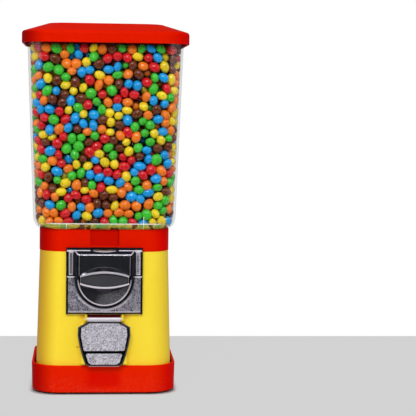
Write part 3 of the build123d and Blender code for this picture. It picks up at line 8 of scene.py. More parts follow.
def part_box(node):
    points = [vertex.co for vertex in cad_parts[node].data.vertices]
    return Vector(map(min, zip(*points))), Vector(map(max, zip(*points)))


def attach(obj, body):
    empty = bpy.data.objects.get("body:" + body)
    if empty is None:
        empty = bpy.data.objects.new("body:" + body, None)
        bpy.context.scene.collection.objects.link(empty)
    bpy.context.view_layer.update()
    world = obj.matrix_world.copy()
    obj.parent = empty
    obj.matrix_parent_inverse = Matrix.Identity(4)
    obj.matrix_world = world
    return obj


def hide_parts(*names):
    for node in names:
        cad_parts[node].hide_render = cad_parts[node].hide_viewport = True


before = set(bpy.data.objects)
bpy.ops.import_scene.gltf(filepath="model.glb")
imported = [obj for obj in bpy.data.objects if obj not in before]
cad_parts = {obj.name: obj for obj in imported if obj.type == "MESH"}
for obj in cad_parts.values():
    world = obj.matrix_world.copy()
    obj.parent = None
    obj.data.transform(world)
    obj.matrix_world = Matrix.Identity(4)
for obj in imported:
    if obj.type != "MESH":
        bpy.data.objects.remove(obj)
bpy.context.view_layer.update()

# Viewpoint: a long lens a little left of the middle, level with the lower half of the globe. The
# camera is turned, tipped and rolled, and isn't shifted.
CAMERA_PLACE = Vector((-0.0272, -1.7909, 0.3415))
CAMERA_YAW = math.radians(4.938)
CAMERA_TIP = math.radians(-4.048)
CAMERA_ROLL = math.radians(0.729)
FOCAL_LENGTH = 126.95
SENSOR_WIDTH = 36.0
IMAGE_SIDE = 416

camera_data = bpy.data.cameras.new("camera")
camera_data.lens = FOCAL_LENGTH
camera_data.sensor_width = SENSOR_WIDTH
camera = bpy.data.objects.new("camera", camera_data)
camera.matrix_world = (
    Matrix.Translation(CAMERA_PLACE)
    @ Matrix.Rotation(-CAMERA_YAW, 4, "Z")
    @ Matrix.Rotation(math.pi / 2 + CAMERA_TIP, 4, "X")
    @ Matrix.Rotation(CAMERA_ROLL, 4, "Z")
)
bpy.context.collection.objects.link(camera)
bpy.context.scene.camera = camera
bpy.context.scene.view_settings.view_transform = "Standard"

# Studio: pale surroundings that the camera sees as plain white. Shiny surfaces show a dark room
# behind the camera, pale walls at the sides and a dim one behind the machine. One large soft lamp
# hangs in front and above, and two weaker ones stand at the sides.


class Wire:
    """A socket of a node tree that takes part in Python expressions."""

    def __init__(self, tree, socket=None):
        self.tree = tree
        self.socket = socket

    def node(self, kind, sockets=None, out=0, **settings):
        """Add a node: its settings first, then the values or links of its sockets. A kind without
        the word Node is a shader node's."""
        made = self.tree.nodes.new(kind if "Node" in kind else "ShaderNode" + kind)
        for name, value in settings.items():
            setattr(made, name, value)
        for key, value in (sockets or {}).items():
            if isinstance(value, Wire):
                self.tree.links.new(value.socket, made.inputs[key])
            else:
                made.inputs[key].default_value = value
        if not made.outputs:
            return None
        return Wire(self.tree, made.outputs[out])

    def math(self, operation, other=0.0):
        return self.node("Math", {0: self, 1: other}, operation=operation)

    def __add__(self, other):
        return self.math("ADD", other)

    def __sub__(self, other):
        return self.math("SUBTRACT", other)

    def __rsub__(self, other):
        return self.node("Math", {0: other, 1: self}, operation="SUBTRACT")

    def __mul__(self, other):
        return self.math("MULTIPLY", other)

    def __truediv__(self, other):
        return self.math("DIVIDE", other)

    __radd__ = __add__
    __rmul__ = __mul__

    def ease(self, start, end):
        """0 before start, 1 after end, smooth between them."""
        sockets = {0: self, 1: min(start, end), 2: max(start, end)}
        rise = self.node("MapRange", sockets, interpolation_type="SMOOTHSTEP")
        return rise if start < end else 1 - rise

    def band(self, low, high, soft):
        """1 between low and high, 0 outside, with soft edges."""
        return self.ease(low - soft, low + soft) * self.ease(high + soft, high - soft)

    def near(self, middle, reach, core):
        """1 within core of a middle value, 0 farther from it than reach."""
        return (self - middle).math("ABSOLUTE").ease(reach, core)

    def inside_square(self, half, corner):
        """How far a place is inside the outline of a rounded square about the upright axis."""
        across, depth, _ = self.axes()
        aside = across.math("ABSOLUTE") - (half - corner)
        along = depth.math("ABSOLUTE") - (half - corner)
        out_x = aside.math("MAXIMUM", 0.0)
        out_y = along.math("MAXIMUM", 0.0)
        nearest = aside.math("MAXIMUM", along).math("MINIMUM", 0.0)
        return corner - (out_x * out_x + out_y * out_y).math("SQRT") - nearest

    def axes(self):
        """The X, Y and Z values of a vector."""
        return [self.node("SeparateXYZ", {0: self}, out=axis) for axis in range(3)]

    def noise(self, scale, detail=2.0, roughness=0.5):
        sockets = {"Vector": self, "Scale": scale, "Detail": detail, "Roughness": roughness}
        return self.node("TexNoise", sockets)

    def mix(self, first, second):
        """Colour from first to second as this value goes from 0 to 1."""
        return self.node("Mix", {0: self, 6: first, 7: second}, out=2, data_type="RGBA")

    def bump(self, strength, distance):
        """Surface normal with this value as its height."""
        return self.node("Bump", {"Height": self, "Strength": strength, "Distance": distance})


def colour(red, green, blue):
    """Linear colour for a colour as it shows on the screen, 0 to 255."""
    shown = [value / 255 for value in (red, green, blue)]
    return [v / 12.92 if v <= 0.04045 else ((v + 0.055) / 1.055) ** 2.4 for v in shown] + [1.0]


WHITE = (1.0, 1.0, 1.0, 1.0)
AMBIENT_FRONT = (0.64, 0.64, 0.64, 1.0)
AMBIENT_BACK = (0.36, 0.36, 0.36, 1.0)
AMBIENT_FROM_ABOVE = 0.35
AMBIENT_SPAN = (-0.25, 0.95)
REFLECTED_FRONT = (0.022, 0.023, 0.028, 1.0)
REFLECTED_SIDES = (0.85, 0.87, 0.90, 1.0)
REFLECTED_BACK = (0.14, 0.14, 0.15, 1.0)
ROOM_SPAN = (0.35, 0.75)
ROOM_TOP = (0.62, 0.30)
BACK_WALL_SPAN = (0.40, 0.80)

world = bpy.data.worlds.new("studio")
world.use_nodes = True
world.node_tree.nodes.clear()
bpy.context.scene.world = world
sky = Wire(world.node_tree)
seen = sky.node("LightPath", out="Is Camera Ray")
through = sky.node("LightPath", out="Is Transmission Ray")
glossy = sky.node("LightPath", out="Is Glossy Ray")
_, depth, height = sky.node("TexCoord", out="Generated").axes()
towards_front = (depth * -1).ease(*ROOM_SPAN) * height.ease(*ROOM_TOP)
reflected = towards_front.mix(REFLECTED_SIDES, REFLECTED_FRONT)
reflected = depth.ease(*BACK_WALL_SPAN).mix(reflected, REFLECTED_BACK)
ambient = ((depth * -1) + height * AMBIENT_FROM_ABOVE).ease(*AMBIENT_SPAN)
lit = glossy.mix(ambient.mix(AMBIENT_BACK, AMBIENT_FRONT), reflected)
shown_directly = (seen + through).math("MINIMUM", 1.0)
background = sky.node("Background", {"Color": shown_directly.mix(lit, WHITE)})
sky.node("OutputWorld", {"Surface": background})


def soft_lamp(name, place, aim, size, power):
    data = bpy.data.lights.new(name, "AREA")
    data.shape = "RECTANGLE"
    data.size, data.size_y = size
    data.energy = power
    lamp = bpy.data.objects.new(name, data)
    facing = (Vector(aim) - Vector(place)).to_track_quat("-Z", "Y")
    lamp.matrix_world = Matrix.LocRotScale(Vector(place), facing, None)
    bpy.context.collection.objects.link(lamp)


soft_lamp("key_lamp", place=(-0.25, -1.9, 1.75), aim=(0, 0, 0.25), size=(1.3, 0.8), power=35)
for name, side in (("left_lamp", -1), ("right_lamp", 1)):
    soft_lamp(name, place=(side * 2.1, -0.9, 0.9), aim=(0, 0, 0.2), size=(0.7, 1.4), power=2.2)

# Floor: pale grey paper up to a straight edge behind the machine, and white beyond it. Its colour
# is painted darker close to the foot of the tray, a painted contact shadow. Far in front it is dark
# in reflections only, as the room is.
FLOOR_EDGE_ROW = 336.0
FLOOR_REACH = 6.0
FLOOR_GREY = colour(211, 211, 211)
CONTACT_SHADOW_GREY = colour(160, 162, 160)
FOOT_HALF = 0.084
FOOT_CORNER = 0.028
PAPER_GRAIN = 0.015
FRONT_SPAN = (0.16, 0.62)
CONTACT_SHADOW_SPAN = (0.0045, -0.001)
EVEN_SPAN = (-0.001, 0.0065)
EVEN_SHARE = 0.97


def floor_point(column, row):
    """Point of the floor that shows at a place of the picture."""
    spread = SENSOR_WIDTH / FOCAL_LENGTH / IMAGE_SIDE
    half = IMAGE_SIDE / 2
    ray = camera.matrix_world.to_3x3() @ Vector(((column - half) * spread, (half - row) * spread, -1))
    return CAMERA_PLACE - ray * (CAMERA_PLACE.z / ray.z)


def toned(base, factor, lift=0.0):
    """A colour made darker or paler."""
    return [min(1.0, factor * v + lift) for v in base[:3]] + [1.0]


def new_material(name):
    """An empty material, its node tree, and the place on the piece."""
    made = bpy.data.materials.new(name)
    made.use_nodes = True
    made.node_tree.nodes.clear()
    wire = Wire(made.node_tree)
    return made, wire, wire.node("TexCoord", out="Object")


edge_left = floor_point(0, FLOOR_EDGE_ROW)
edge_right = floor_point(IMAGE_SIDE, FLOOR_EDGE_ROW)
edge_slope = (edge_right.y - edge_left.y) / (edge_right.x - edge_left.x)
edge_start = edge_left.y - edge_slope * edge_left.x

floor_mesh = bpy.data.meshes.new("floor")
corners = [(-1, -1, 0), (1, -1, 0), (1, 1, 0), (-1, 1, 0)]
floor_mesh.from_pydata([[FLOOR_REACH * v for v in corner] for corner in corners], [], [(0, 1, 2, 3)])
floor = bpy.data.objects.new("floor", floor_mesh)
bpy.context.collection.objects.link(floor)

paper, wire, place = new_material("floor_paper")
across, depth, _ = place.axes()
beyond = (depth - across * edge_slope).math("GREATER_THAN", edge_start)
seen = wire.node("LightPath", out="Is Camera Ray")
glossy = wire.node("LightPath", out="Is Glossy Ray")
far_in_front = (depth * -1).ease(*FRONT_SPAN)
grain = place.noise(scale=900.0, detail=3.0)
grey = grain.mix(toned(FLOOR_GREY, 1 - PAPER_GRAIN), toned(FLOOR_GREY, 1 + PAPER_GRAIN))
white = wire.node("Emission", {"Color": WHITE})
dark = wire.node("Emission", {"Color": REFLECTED_FRONT})
even = wire.node("Emission", {"Color": grey})
from_foot = place.inside_square(FOOT_HALF, FOOT_CORNER) * -1
# Painted contact shadow: the paper's colour darkens towards the tray's foot.
matt = wire.node("BsdfDiffuse", {"Color": from_foot.ease(*CONTACT_SHADOW_SPAN).mix(grey, CONTACT_SHADOW_GREY)})
away = from_foot.ease(*EVEN_SPAN)
ground = wire.node("MixShader", {0: away * seen * EVEN_SHARE, 1: matt, 2: even})
ground = wire.node("MixShader", {0: beyond * seen, 1: ground, 2: white})
ground = wire.node("MixShader", {0: far_in_front * glossy, 1: ground, 2: dark})
wire.node("OutputMaterial", {"Surface": ground})
floor_mesh.materials.append(paper)

# Base tray: a glossy red moulding, dished to hold the yellow body and pulled up against it by the
# rod. Its skin has a faint orange peel, and dust dulls it a little towards the floor. Under the chute
# door it is painted a deeper red, a painted shade.
RED = colour(222, 26, 0)
RED_SHADE = colour(214, 22, 0)
# Painted shade: the colours of the walls that turn to the left and to the right.
RED_SIDE_SHADES = (colour(172, 0, 0), colour(220, 2, 0))
TRAY_RED = colour(230, 36, 0)
DUST = colour(225, 190, 170)
DUST_HEIGHT = 0.03
DUST_SHARE = 0.05
PLASTIC_IOR = 1.49
SIDE_SHADE_START = 0.15
DOOR_SHADE_ACROSS = (0.026, 0.012)
DOOR_SHADE_HEIGHTS = (0.0085, 0.0270, 0.004)
DOOR_SHADE_FRONT = (-0.080, -0.084)
tray_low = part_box("base_tray")[0]


def principled(wire, sockets):
    """End a material's nodes in one surface with these sockets."""
    wire.node("OutputMaterial", {"Surface": wire.node("BsdfPrincipled", sockets)})


def dress(material, *nodes):
    """Give CAD nodes a material."""
    for name in nodes:
        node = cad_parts[name]
        if not node.material_slots:
            node.data.materials.append(material)
        for material_slot in node.material_slots:
            material_slot.material = material


def moulded_plastic(name, main, shade, sides, dust_top, marks=None, specular=0.008):
    """Moulded plastic: flow marks, orange peel, dust low down, and painted shade: other colours on the
    walls that turn to the left and to the right."""
    made, wire, place = new_material(name)
    flow = place.noise(scale=14.0, detail=3.0)
    mottle = place.noise(scale=160.0)
    specks = place.noise(scale=420.0, detail=4.0, roughness=0.7).ease(0.42, 0.75)
    dust = place.axes()[2].ease(dust_top, dust_top - DUST_HEIGHT) * specks
    tint = (flow * 0.7 + mottle * 0.3).ease(0.30, 0.72).mix(shade, main)
    tint = (dust * DUST_SHARE).mix(tint, DUST)
    # Painted shade: walls turned to the left or to the right take the two side colours.
    sideways = wire.node("NewGeometry", out="Normal").axes()[0]
    left_colour, right_colour = sides
    tint = sideways.ease(-SIDE_SHADE_START, -1.0).mix(tint, left_colour)
    tint = sideways.ease(SIDE_SHADE_START, 1.0).mix(tint, right_colour)
    for share, dark in marks(place) if marks else []:
        tint = share.mix(tint, dark)
    peel = place.noise(scale=620.0) * 0.6 + place.noise(scale=95.0, detail=1.0)
    sockets = {
        "Base Color": tint,
        "Roughness": 0.32 + mottle * 0.07 + dust * 0.2,
        "Normal": peel.bump(strength=0.05, distance=0.0006),
        "IOR": PLASTIC_IOR,
        "Specular IOR Level": specular,
    }
    principled(wire, sockets)
    return made


def tray_door_shade(place):
    """Painted shade: the deeper red under the chute door."""
    across, depth, height = place.axes()
    patch = across.math("ABSOLUTE").ease(*DOOR_SHADE_ACROSS) * height.band(*DOOR_SHADE_HEIGHTS)
    return [(patch * depth.ease(*DOOR_SHADE_FRONT) * 0.75, colour(212, 6, 0))]


red_tray = moulded_plastic("red_tray_plastic", TRAY_RED, RED, RED_SIDE_SHADES, tray_low.z + DUST_HEIGHT, tray_door_shade)
dress(red_tray, "base_tray")

# Rubber feet: four moulded pads under the tray's bosses, each held by a zinc plated screw. The
# rubber is nearly black, with a grey bloom. The screws, clamps and pins of the body and of the
# mechanism have the same plating.
RUBBER = colour(38, 38, 40)
RUBBER_BLOOM = colour(70, 69, 68)


def moulded_rubber(name):
    made, wire, place = new_material(name)
    bloom = place.noise(scale=260.0, detail=4.0, roughness=0.6).ease(0.40, 0.80)
    sockets = {
        "Base Color": bloom.mix(RUBBER, RUBBER_BLOOM),
        "Roughness": 0.62 + bloom * 0.2,
        "Normal": place.noise(scale=900.0).bump(strength=0.15, distance=0.0004),
    }
    principled(wire, sockets)
    return made


def plated_steel(name, bright, dull, turned_scale=0.0):
    """Plated steel: cloudy plating, fine scratches and turning marks along the part's height."""
    made, wire, place = new_material(name)
    cloud = place.noise(scale=120.0, detail=4.0, roughness=0.6)
    fine = place.noise(scale=1500.0)
    relief = fine * 0.5 + cloud
    if turned_scale:
        wave = {"Vector": place, "Scale": turned_scale, "Distortion": 0.0}
        relief = wire.node("TexWave", wave, wave_type="BANDS", bands_direction="Z") + fine * 0.2
    sockets = {
        "Base Color": cloud.ease(0.35, 0.68).mix(dull, bright),
        "Metallic": 1.0,
        "Roughness": 0.22 + cloud * 0.24 + fine * 0.06,
        "Normal": relief.bump(strength=0.25, distance=0.0003),
    }
    principled(wire, sockets)
    return made


dress(moulded_rubber("foot_rubber"), "rubber_feet")
zinc = plated_steel("zinc_plate", colour(214, 214, 208), colour(176, 178, 174))
dress(zinc, "foot_screws", "collar_screws", "mech_screws", "mech_clamps", "mech_back_plate")
dress(zinc, "door_pin", "pawl_pin")

# Body: a glossy yellow shell that tapers upward, moulded in one piece with the spout and the two
# ears of the door's hinge. It stands in the tray, and its left wall is painted deeper than its front,
# a painted shade. The gap over the door's barrel is painted dark, a painted shade, and a painted
# shadow lies beside the ears.
YELLOW = colour(250, 222, 60)
YELLOW_SHADE = colour(246, 216, 54)
# Painted shade: the colours of the walls that turn to the left and to the right.
YELLOW_SIDE_SHADES = (colour(206, 158, 36), colour(244, 210, 54))
YELLOW_GLOSS = 0.09
HINGE_PLACE = Vector((0, -0.0854, 0.089))
EAR_INSIDE = 0.0195
EAR_OUTSIDE = 0.0222
CRISP = 0.0002
SOFT = 0.0003
BODY_FRONT = (-0.074, -0.078)
GAP_HEIGHTS = (0.0880, 0.0965, 0.0004)
EAR_SHADOW_ACROSS = (0.034, 0.022)
EAR_SHADOW_HEIGHTS = (0.0885, 0.0955, 0.003)
SCUFF_ACROSS = (-0.0306, 0.0026, 0.0014)
SCUFF_HEIGHT = (0.0554, 0.0013, 0.0004)
body_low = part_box("body_shell")[0]


def body_shade_and_scuff(place):
    """Painted shade in the gap over the door's barrel, a painted shadow beside the two ears, and a
    small scuff.
    """
    across, depth, height = place.axes()
    aside = across.math("ABSOLUTE")
    front = depth.ease(*BODY_FRONT)
    # Painted shade in the gap over the barrel, and a painted shadow beside the ears.
    gap = aside.ease(EAR_INSIDE + CRISP, EAR_INSIDE - CRISP) * height.band(*GAP_HEIGHTS)
    ear_shadow = aside.ease(EAR_OUTSIDE - 0.0004, EAR_OUTSIDE) * aside.ease(*EAR_SHADOW_ACROSS)
    ear_shadow = ear_shadow * height.band(*EAR_SHADOW_HEIGHTS)
    scuff = across.near(*SCUFF_ACROSS) * height.near(*SCUFF_HEIGHT)
    return [
        (gap * front, colour(96, 12, 8)),
        (ear_shadow * front * 0.55, colour(176, 104, 10)),
        (scuff * front * 0.75, colour(196, 128, 20)),
    ]


body_dust_top = body_low.z + DUST_HEIGHT
yellow_body = moulded_plastic(
    "yellow_body_plastic", YELLOW, YELLOW_SHADE, YELLOW_SIDE_SHADES, body_dust_top, body_shade_and_scuff, YELLOW_GLOSS
)
dress(yellow_body, "body_shell")

# Hopper, dispensing wheel, cover and chute: white mouldings inside the body that carry one charge
# of candies at a time to the outlet. They are stained and sugared by the candies that pass, and a
# brush under the cover wipes the rest back.
WHITE_PARTS = ["hopper", "candy_wheel", "wheel_hub", "wheel_pegs", "wheel_bushing", "brush_housing", "chute"]
CLEAN_WHITE = colour(238, 236, 228)
STAINED_WHITE = colour(214, 200, 182)
SUGAR_WHITE = colour(250, 246, 240)


def worn_white_plastic(name):
    made, wire, place = new_material(name)
    stain = place.noise(scale=55.0, detail=4.0, roughness=0.6).ease(0.46, 0.78)
    sugar = place.noise(scale=800.0, detail=3.0, roughness=0.7).ease(0.58, 0.80)
    tint = (stain * 0.55).mix(CLEAN_WHITE, STAINED_WHITE)
    relief = place.noise(scale=700.0) + sugar
    sockets = {
        "Base Color": (sugar * 0.5).mix(tint, SUGAR_WHITE),
        "Roughness": 0.34 + stain * 0.16 + sugar * 0.2,
        "Normal": relief.bump(strength=0.12, distance=0.0004),
    }
    principled(wire, sockets)
    return made


def brush_bristle(name):
    made, wire, place = new_material(name)
    strands = wire.node("TexVoronoi", {"Vector": place, "Scale": 2600.0}, out="Distance")
    sockets = {
        "Base Color": strands.ease(0.1, 0.6).mix(colour(60, 58, 55), colour(22, 21, 20)),
        "Roughness": 0.55 + strands * 0.3,
        "Normal": strands.bump(strength=0.8, distance=0.0005),
    }
    principled(wire, sockets)
    return made


dress(worn_white_plastic("worn_white_plastic"), *WHITE_PARTS)
dress(brush_bristle("brush_bristle"), "brush")

# Rod, nuts, agitator and the mechanism's metal: the rod has a rolled zinc plated thread, and the
# shaft and its small parts are turned steel. The coin wheel and the gear are tumbled castings, and
# the bushing and the lock's plug and nut are turned brass.
THREAD_SCALE = 5000.0
TURNING_SCALE = 1600.0
threaded = plated_steel("threaded_zinc", colour(204, 204, 198), colour(150, 152, 150), THREAD_SCALE)
dress(threaded, "centre_rod")
turned = plated_steel("turned_steel", colour(205, 205, 205), colour(166, 166, 168), TURNING_SCALE)
dress(turned, "handle_shaft", "rod_nuts", "rod_washer", "hub_nut", "agitator", "shaft_clip", "pawl_spring")
dress(turned, "ratchet_wheel", "ratchet_pawl")
tumbled = plated_steel("tumbled_casting", colour(176, 176, 174), colour(126, 127, 128))
dress(tumbled, "coin_wheel", "drive_gear")
brass = plated_steel("turned_brass", colour(224, 190, 116), colour(188, 148, 80), TURNING_SCALE)
dress(brass, "shaft_bushing", "lock_plug", "lock_nut")

# Faceplate, boss and pads: one zinc die casting, chrome plated and clamped to the body. The lower
# flat and the two pads keep the casting's pebbled skin. The hood and the bevels are polished and
# are also painted dark, a painted reflection of the dark room, and the rounded borders carry thin
# pale lines painted as highlights.
CHROME_PAINTED_DARK = colour(24, 26, 36)
CHROME_HIGHLIGHT = colour(222, 215, 224)
CHROME_CLOUDS = (colour(186, 187, 194), colour(208, 208, 213))
PLATE_LOW = colour(50, 49, 62)
PLATE_HIGH = colour(188, 184, 197)
plate_low, plate_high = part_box("faceplate")
knob_low, knob_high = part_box("handle")
knob_centre = (knob_low + knob_high) / 2
PLATE_HALF = plate_high.x
PLATE_FACE = -0.0829
RAISED = (PLATE_FACE - 0.0018, PLATE_FACE - 0.0024)
DEEPLY_RAISED = (PLATE_FACE - 0.0024, PLATE_FACE - 0.0030)
PEBBLE_DEPTH = (PLATE_FACE - 0.0018, PLATE_FACE - 0.0014)
LINE_DEPTH = (PLATE_FACE - 0.0022, PLATE_FACE - 0.0016)
HOOD_FRONT = (plate_low.y + 0.0010, plate_low.y + 0.0002)
SIDE_BEVEL = (PLATE_HALF - 0.0028, PLATE_HALF - 0.0022)
TOP_BEVEL = (plate_high.z - 0.0026, plate_high.z - 0.0022)
FOOT_BEVEL = (plate_low.z + 0.0006, plate_low.z + 0.0026, CRISP)
APRON_LINE = 0.1394
STEP_SHADE = (APRON_LINE + 0.0002, APRON_LINE + 0.0014, CRISP)
STEP_SHADE_ACROSS = (0.034, 0.036)
STEP_LINE = (APRON_LINE - 0.0014, APRON_LINE - 0.0001, CRISP)
STEP_ACROSS = (0.0345, 0.036)
LEDGE_LINE = (plate_high.z - 0.0046, plate_high.z - 0.0026, SOFT)
LEDGE_HALF_GAP = 0.0163
FOOT_LINE = (plate_low.z + 0.0028, plate_low.z + 0.0038, CRISP)
FOOT_LIP = (plate_low.z + 0.0006, plate_low.z + 0.0003)
HOOD_BACK = (0.1655, 0.1659)
HOOD_RIM = (0.1644, 0.1650)
HOOD_RIM_SHARE = 0.75
HOOD_TOP = (0.1645, 0.1651)
HOOD_SIDE = (0.0292, 0.0300, SOFT)
HOOD_SIDE_FOOT = (0.1400, 0.1420)
BOSS_RIM = (0.0360, 0.0345)
BOSS_HALO = (0.0358, 0.0376, 0.0006)
PAD_INSIDE = 0.0371
PAD_OUTSIDE = 0.0412
PAD_FOOT = 0.1412
PAD_TOP = 0.1680
PAD_END = 0.0012
PAD_FADE = 0.0006
BEFORE_PAD = (0.0300, PAD_INSIDE - 0.0008, SOFT)
GLOW_BEND = 9.3
GLOW_HEIGHT = (0.1497, 0.0024, 0.0004)
GLOW_ACROSS = (0.022, 0.008)
SLOT_BEND = 6.0
SLOT_HEIGHT = 0.1688
SLOT_ACROSS = (0.0163, 0.0158)
BRACE_START = (0.0306, 0.1650)
BRACE_SLOPE = 0.78
BRACE_HEIGHTS = (0.1648, 0.1700, SOFT)
SQUARE_TO_FRONT = (0.90, 0.985)
TURNED_AWAY = (0.95, 0.72)


def chrome(name, pebbled, painted_dark, painted_pale, low, high, grain=1.0):
    """Chrome plate. The three functions give the pebbled share, the painted dark share (painted
    reflection and shade) and the pale share (painted highlights) at a place, and the pebbled skin
    goes from the low to the high colour."""
    made, wire, place = new_material(name)
    facing = wire.node("NewGeometry", out="Normal")
    rough_share = pebbled(place, facing)
    painted_dark_share = painted_dark(place, facing)
    highlight_share = painted_pale(place, facing)
    coarse = place.noise(scale=760.0 * grain, detail=3.0, roughness=0.62)
    speckle = coarse * 0.5 + place.noise(scale=1400.0 * grain, roughness=0.6) * 0.5
    cloud = place.noise(scale=70.0, detail=3.0)
    blotch = place.noise(scale=210.0, detail=3.0, roughness=0.6)
    speckled = (speckle * 0.8 + blotch * 0.2).ease(0.41, 0.58).mix(low, high)
    tint = rough_share.mix(cloud.mix(*CHROME_CLOUDS), speckled)
    # Painted dark reflection and shade, then painted pale highlights.
    tint = painted_dark_share.mix(tint, CHROME_PAINTED_DARK)
    tint = highlight_share.mix(tint, CHROME_HIGHLIGHT)
    relief = speckle * rough_share + place.noise(scale=240.0, detail=1.0) * 0.03
    sockets = {
        "Base Color": tint,
        "Metallic": 1.0 - rough_share * 0.42 - highlight_share * 0.55,
        "Roughness": 0.10 + rough_share * 0.24 + cloud * 0.05 + highlight_share * 0.46,
        "Normal": relief.bump(strength=0.9, distance=0.0008),
    }
    principled(wire, sockets)
    return made


def faces_front(facing):
    """1 on surfaces square to the front, 0 on bevels and side walls."""
    return (facing.axes()[1] * -1).ease(*SQUARE_TO_FRONT)


def from_axis(place):
    """Distance from the handle's axis, and height over it."""
    across, _, height = place.axes()
    over = height - knob_centre.z
    return (across * across + over * over).math("SQRT"), over


def slot_arc(across):
    """Height of the coin slot's lower edge, where a pale line is painted as a highlight."""
    return across * across * SLOT_BEND + SLOT_HEIGHT


def plate_pebbles(place, facing):
    across, depth, height = place.axes()
    lower = height.ease(APRON_LINE + CRISP, APRON_LINE - CRISP)
    right_pad = across.ease(PAD_INSIDE, PAD_INSIDE + PAD_FADE)
    left_pad = across.ease(-PAD_INSIDE, -PAD_INSIDE - PAD_FADE) * 0.5
    pebbled = lower.math("MAXIMUM", right_pad).math("MAXIMUM", left_pad)
    within = 1 - across.math("ABSOLUTE").ease(*SIDE_BEVEL)
    return faces_front(facing) * depth.ease(*PEBBLE_DEPTH) * pebbled * within


def plate_painted_dark(place, facing):
    """Painted dark reflection and painted shade: the hood's bevel and side walls, the plate's bevels,
    the apron's step and the boss's groove.
    """
    across, depth, height = place.axes()
    aside = across.math("ABSOLUTE")
    radius, over = from_axis(place)
    raised = depth.ease(*RAISED)
    turned_away = (facing.axes()[1] * -1).ease(*TURNED_AWAY)
    hood_top = height.ease(*HOOD_BACK) * (1 - HOOD_RIM_SHARE) + height.ease(*HOOD_RIM) * HOOD_RIM_SHARE
    most = turned_away * raised * (1 - over.ease(-0.004, -0.012) * 0.45)
    for share in (
        raised * hood_top,
        aside.ease(*SIDE_BEVEL),
        height.ease(*TOP_BEVEL),
        height.band(*FOOT_BEVEL),
        height.band(*STEP_SHADE) * aside.ease(*STEP_SHADE_ACROSS),
        radius.ease(*BOSS_RIM) * over.ease(0.0, -0.004) * raised * 0.45,
        aside.band(*BEFORE_PAD) * over.ease(-0.002, 0.002) * 0.8,
    ):
        most = most.math("MAXIMUM", share)
    return most


def plate_highlights(place, facing):
    """Painted highlights: the pale borders of the ledge, step, foot, pads, halo of the boss, hood,
    brace and coin slot.
    """
    across, depth, height = place.axes()
    aside = across.math("ABSOLUTE")
    radius, over = from_axis(place)
    ledge = height.band(*LEDGE_LINE) * aside.ease(LEDGE_HALF_GAP, LEDGE_HALF_GAP + 0.0008)
    step = height.band(*STEP_LINE) * aside.ease(*STEP_ACROSS)
    within = aside.ease(PLATE_HALF - 0.0022, PLATE_HALF - 0.0030)
    foot = height.band(*FOOT_LINE) * within * 0.7 + height.ease(*FOOT_LIP) * 0.5
    pad_sides = aside.band(PAD_INSIDE - 0.0004, PAD_INSIDE + 0.0006, CRISP)
    pad_sides = pad_sides + aside.band(PAD_OUTSIDE - 0.0008, PAD_OUTSIDE, CRISP)
    pad_ends = height.band(PAD_FOOT, PAD_FOOT + PAD_END, CRISP)
    pad_ends = pad_ends + height.band(PAD_TOP - PAD_END, PAD_TOP, CRISP)
    pads = pad_sides + pad_ends * aside.band(PAD_INSIDE, PAD_OUTSIDE, SOFT)
    pads = pads * height.band(PAD_FOOT, PAD_TOP, SOFT) * 0.6
    halo = radius.band(*BOSS_HALO) * over.ease(-0.010, -0.030) * 0.55
    inside = aside.ease(PLATE_HALF - 0.0006, PLATE_HALF - 0.0010)
    flat_lines = (ledge + step + foot + pads + halo) * inside * depth.ease(*LINE_DEPTH)
    glow = (height + across * across * GLOW_BEND).near(*GLOW_HEIGHT) * aside.ease(*GLOW_ACROSS)
    hood_side = aside.band(*HOOD_SIDE) * height.ease(*HOOD_SIDE_FOOT)
    hood = (height.ease(*HOOD_TOP) * 0.3 + glow * 0.3 + hood_side * 0.35) * depth.ease(*HOOD_FRONT)
    brace_start, brace_foot = BRACE_START
    brace = (aside - brace_start).near((height - brace_foot) * BRACE_SLOPE, 0.0011, 0.0005)
    brace = brace * height.band(*BRACE_HEIGHTS) * depth.ease(*DEEPLY_RAISED)
    slot_edge = height.near(slot_arc(across), 0.0007, 0.0003) * aside.ease(*SLOT_ACROSS) * 0.5
    return (flat_lines + hood + brace + slot_edge * depth.ease(*RAISED)).math("MINIMUM", 1.0)


plate_chrome = chrome("plate_chrome", plate_pebbles, plate_painted_dark, plate_highlights, PLATE_LOW, PLATE_HIGH)
dress(plate_chrome, "faceplate")

# Handle: a round zinc casting with a raised lens-shaped grip, chrome plated and keyed to the
# shaft. The grip's sunk panel and flanks are painted dark, a painted reflection, its border carries
# pale painted highlights, and the disc below the grip keeps a pebbled skin mostly on the right,
# where it is painted pale and speckled as a painted reflection.
KNOB_LOW = colour(6, 6, 9)
KNOB_HIGH = colour(150, 146, 156)
KNOB_RADIUS = 0.0314
GRIP_FRONT = -0.0977
GRIP_BACK = -0.0927
GRIP_HALF_LENGTH = 0.0307
GRIP_HALF_HEIGHT = 0.01005
GRIP_END_HALF = 0.0047
GRIP_FACE = (GRIP_FRONT + 0.0007, GRIP_FRONT + 0.0002)
BEHIND_GRIP = (GRIP_BACK, GRIP_BACK + 0.0006)
FLANK_FRONT = (GRIP_FRONT + 0.0004, GRIP_FRONT + 0.0010)
PANEL_EDGE = (GRIP_FRONT + 0.0004, GRIP_FRONT + 0.0008)
PANEL_FLOOR = (GRIP_FRONT + 0.0020, GRIP_FRONT + 0.0014)
KNOB_RIM = (KNOB_RADIUS - 0.0019, KNOB_RADIUS - 0.0013)
BORDER_SPAN = (-0.0026, -0.0021)
BORDER_ACROSS = (0.0292, 0.0280)
GRIP_ENDS = (0.0278, 0.0284)
OUTER_END_LINE = (0.0300, 0.0310, CRISP)
INNER_END_LINE = (0.0274, 0.0280, CRISP)


def panel(depth, facing):
    """1 on the floor of the grip's sunk panel."""
    return depth.ease(*PANEL_EDGE) * depth.ease(*PANEL_FLOOR) * faces_front(facing)


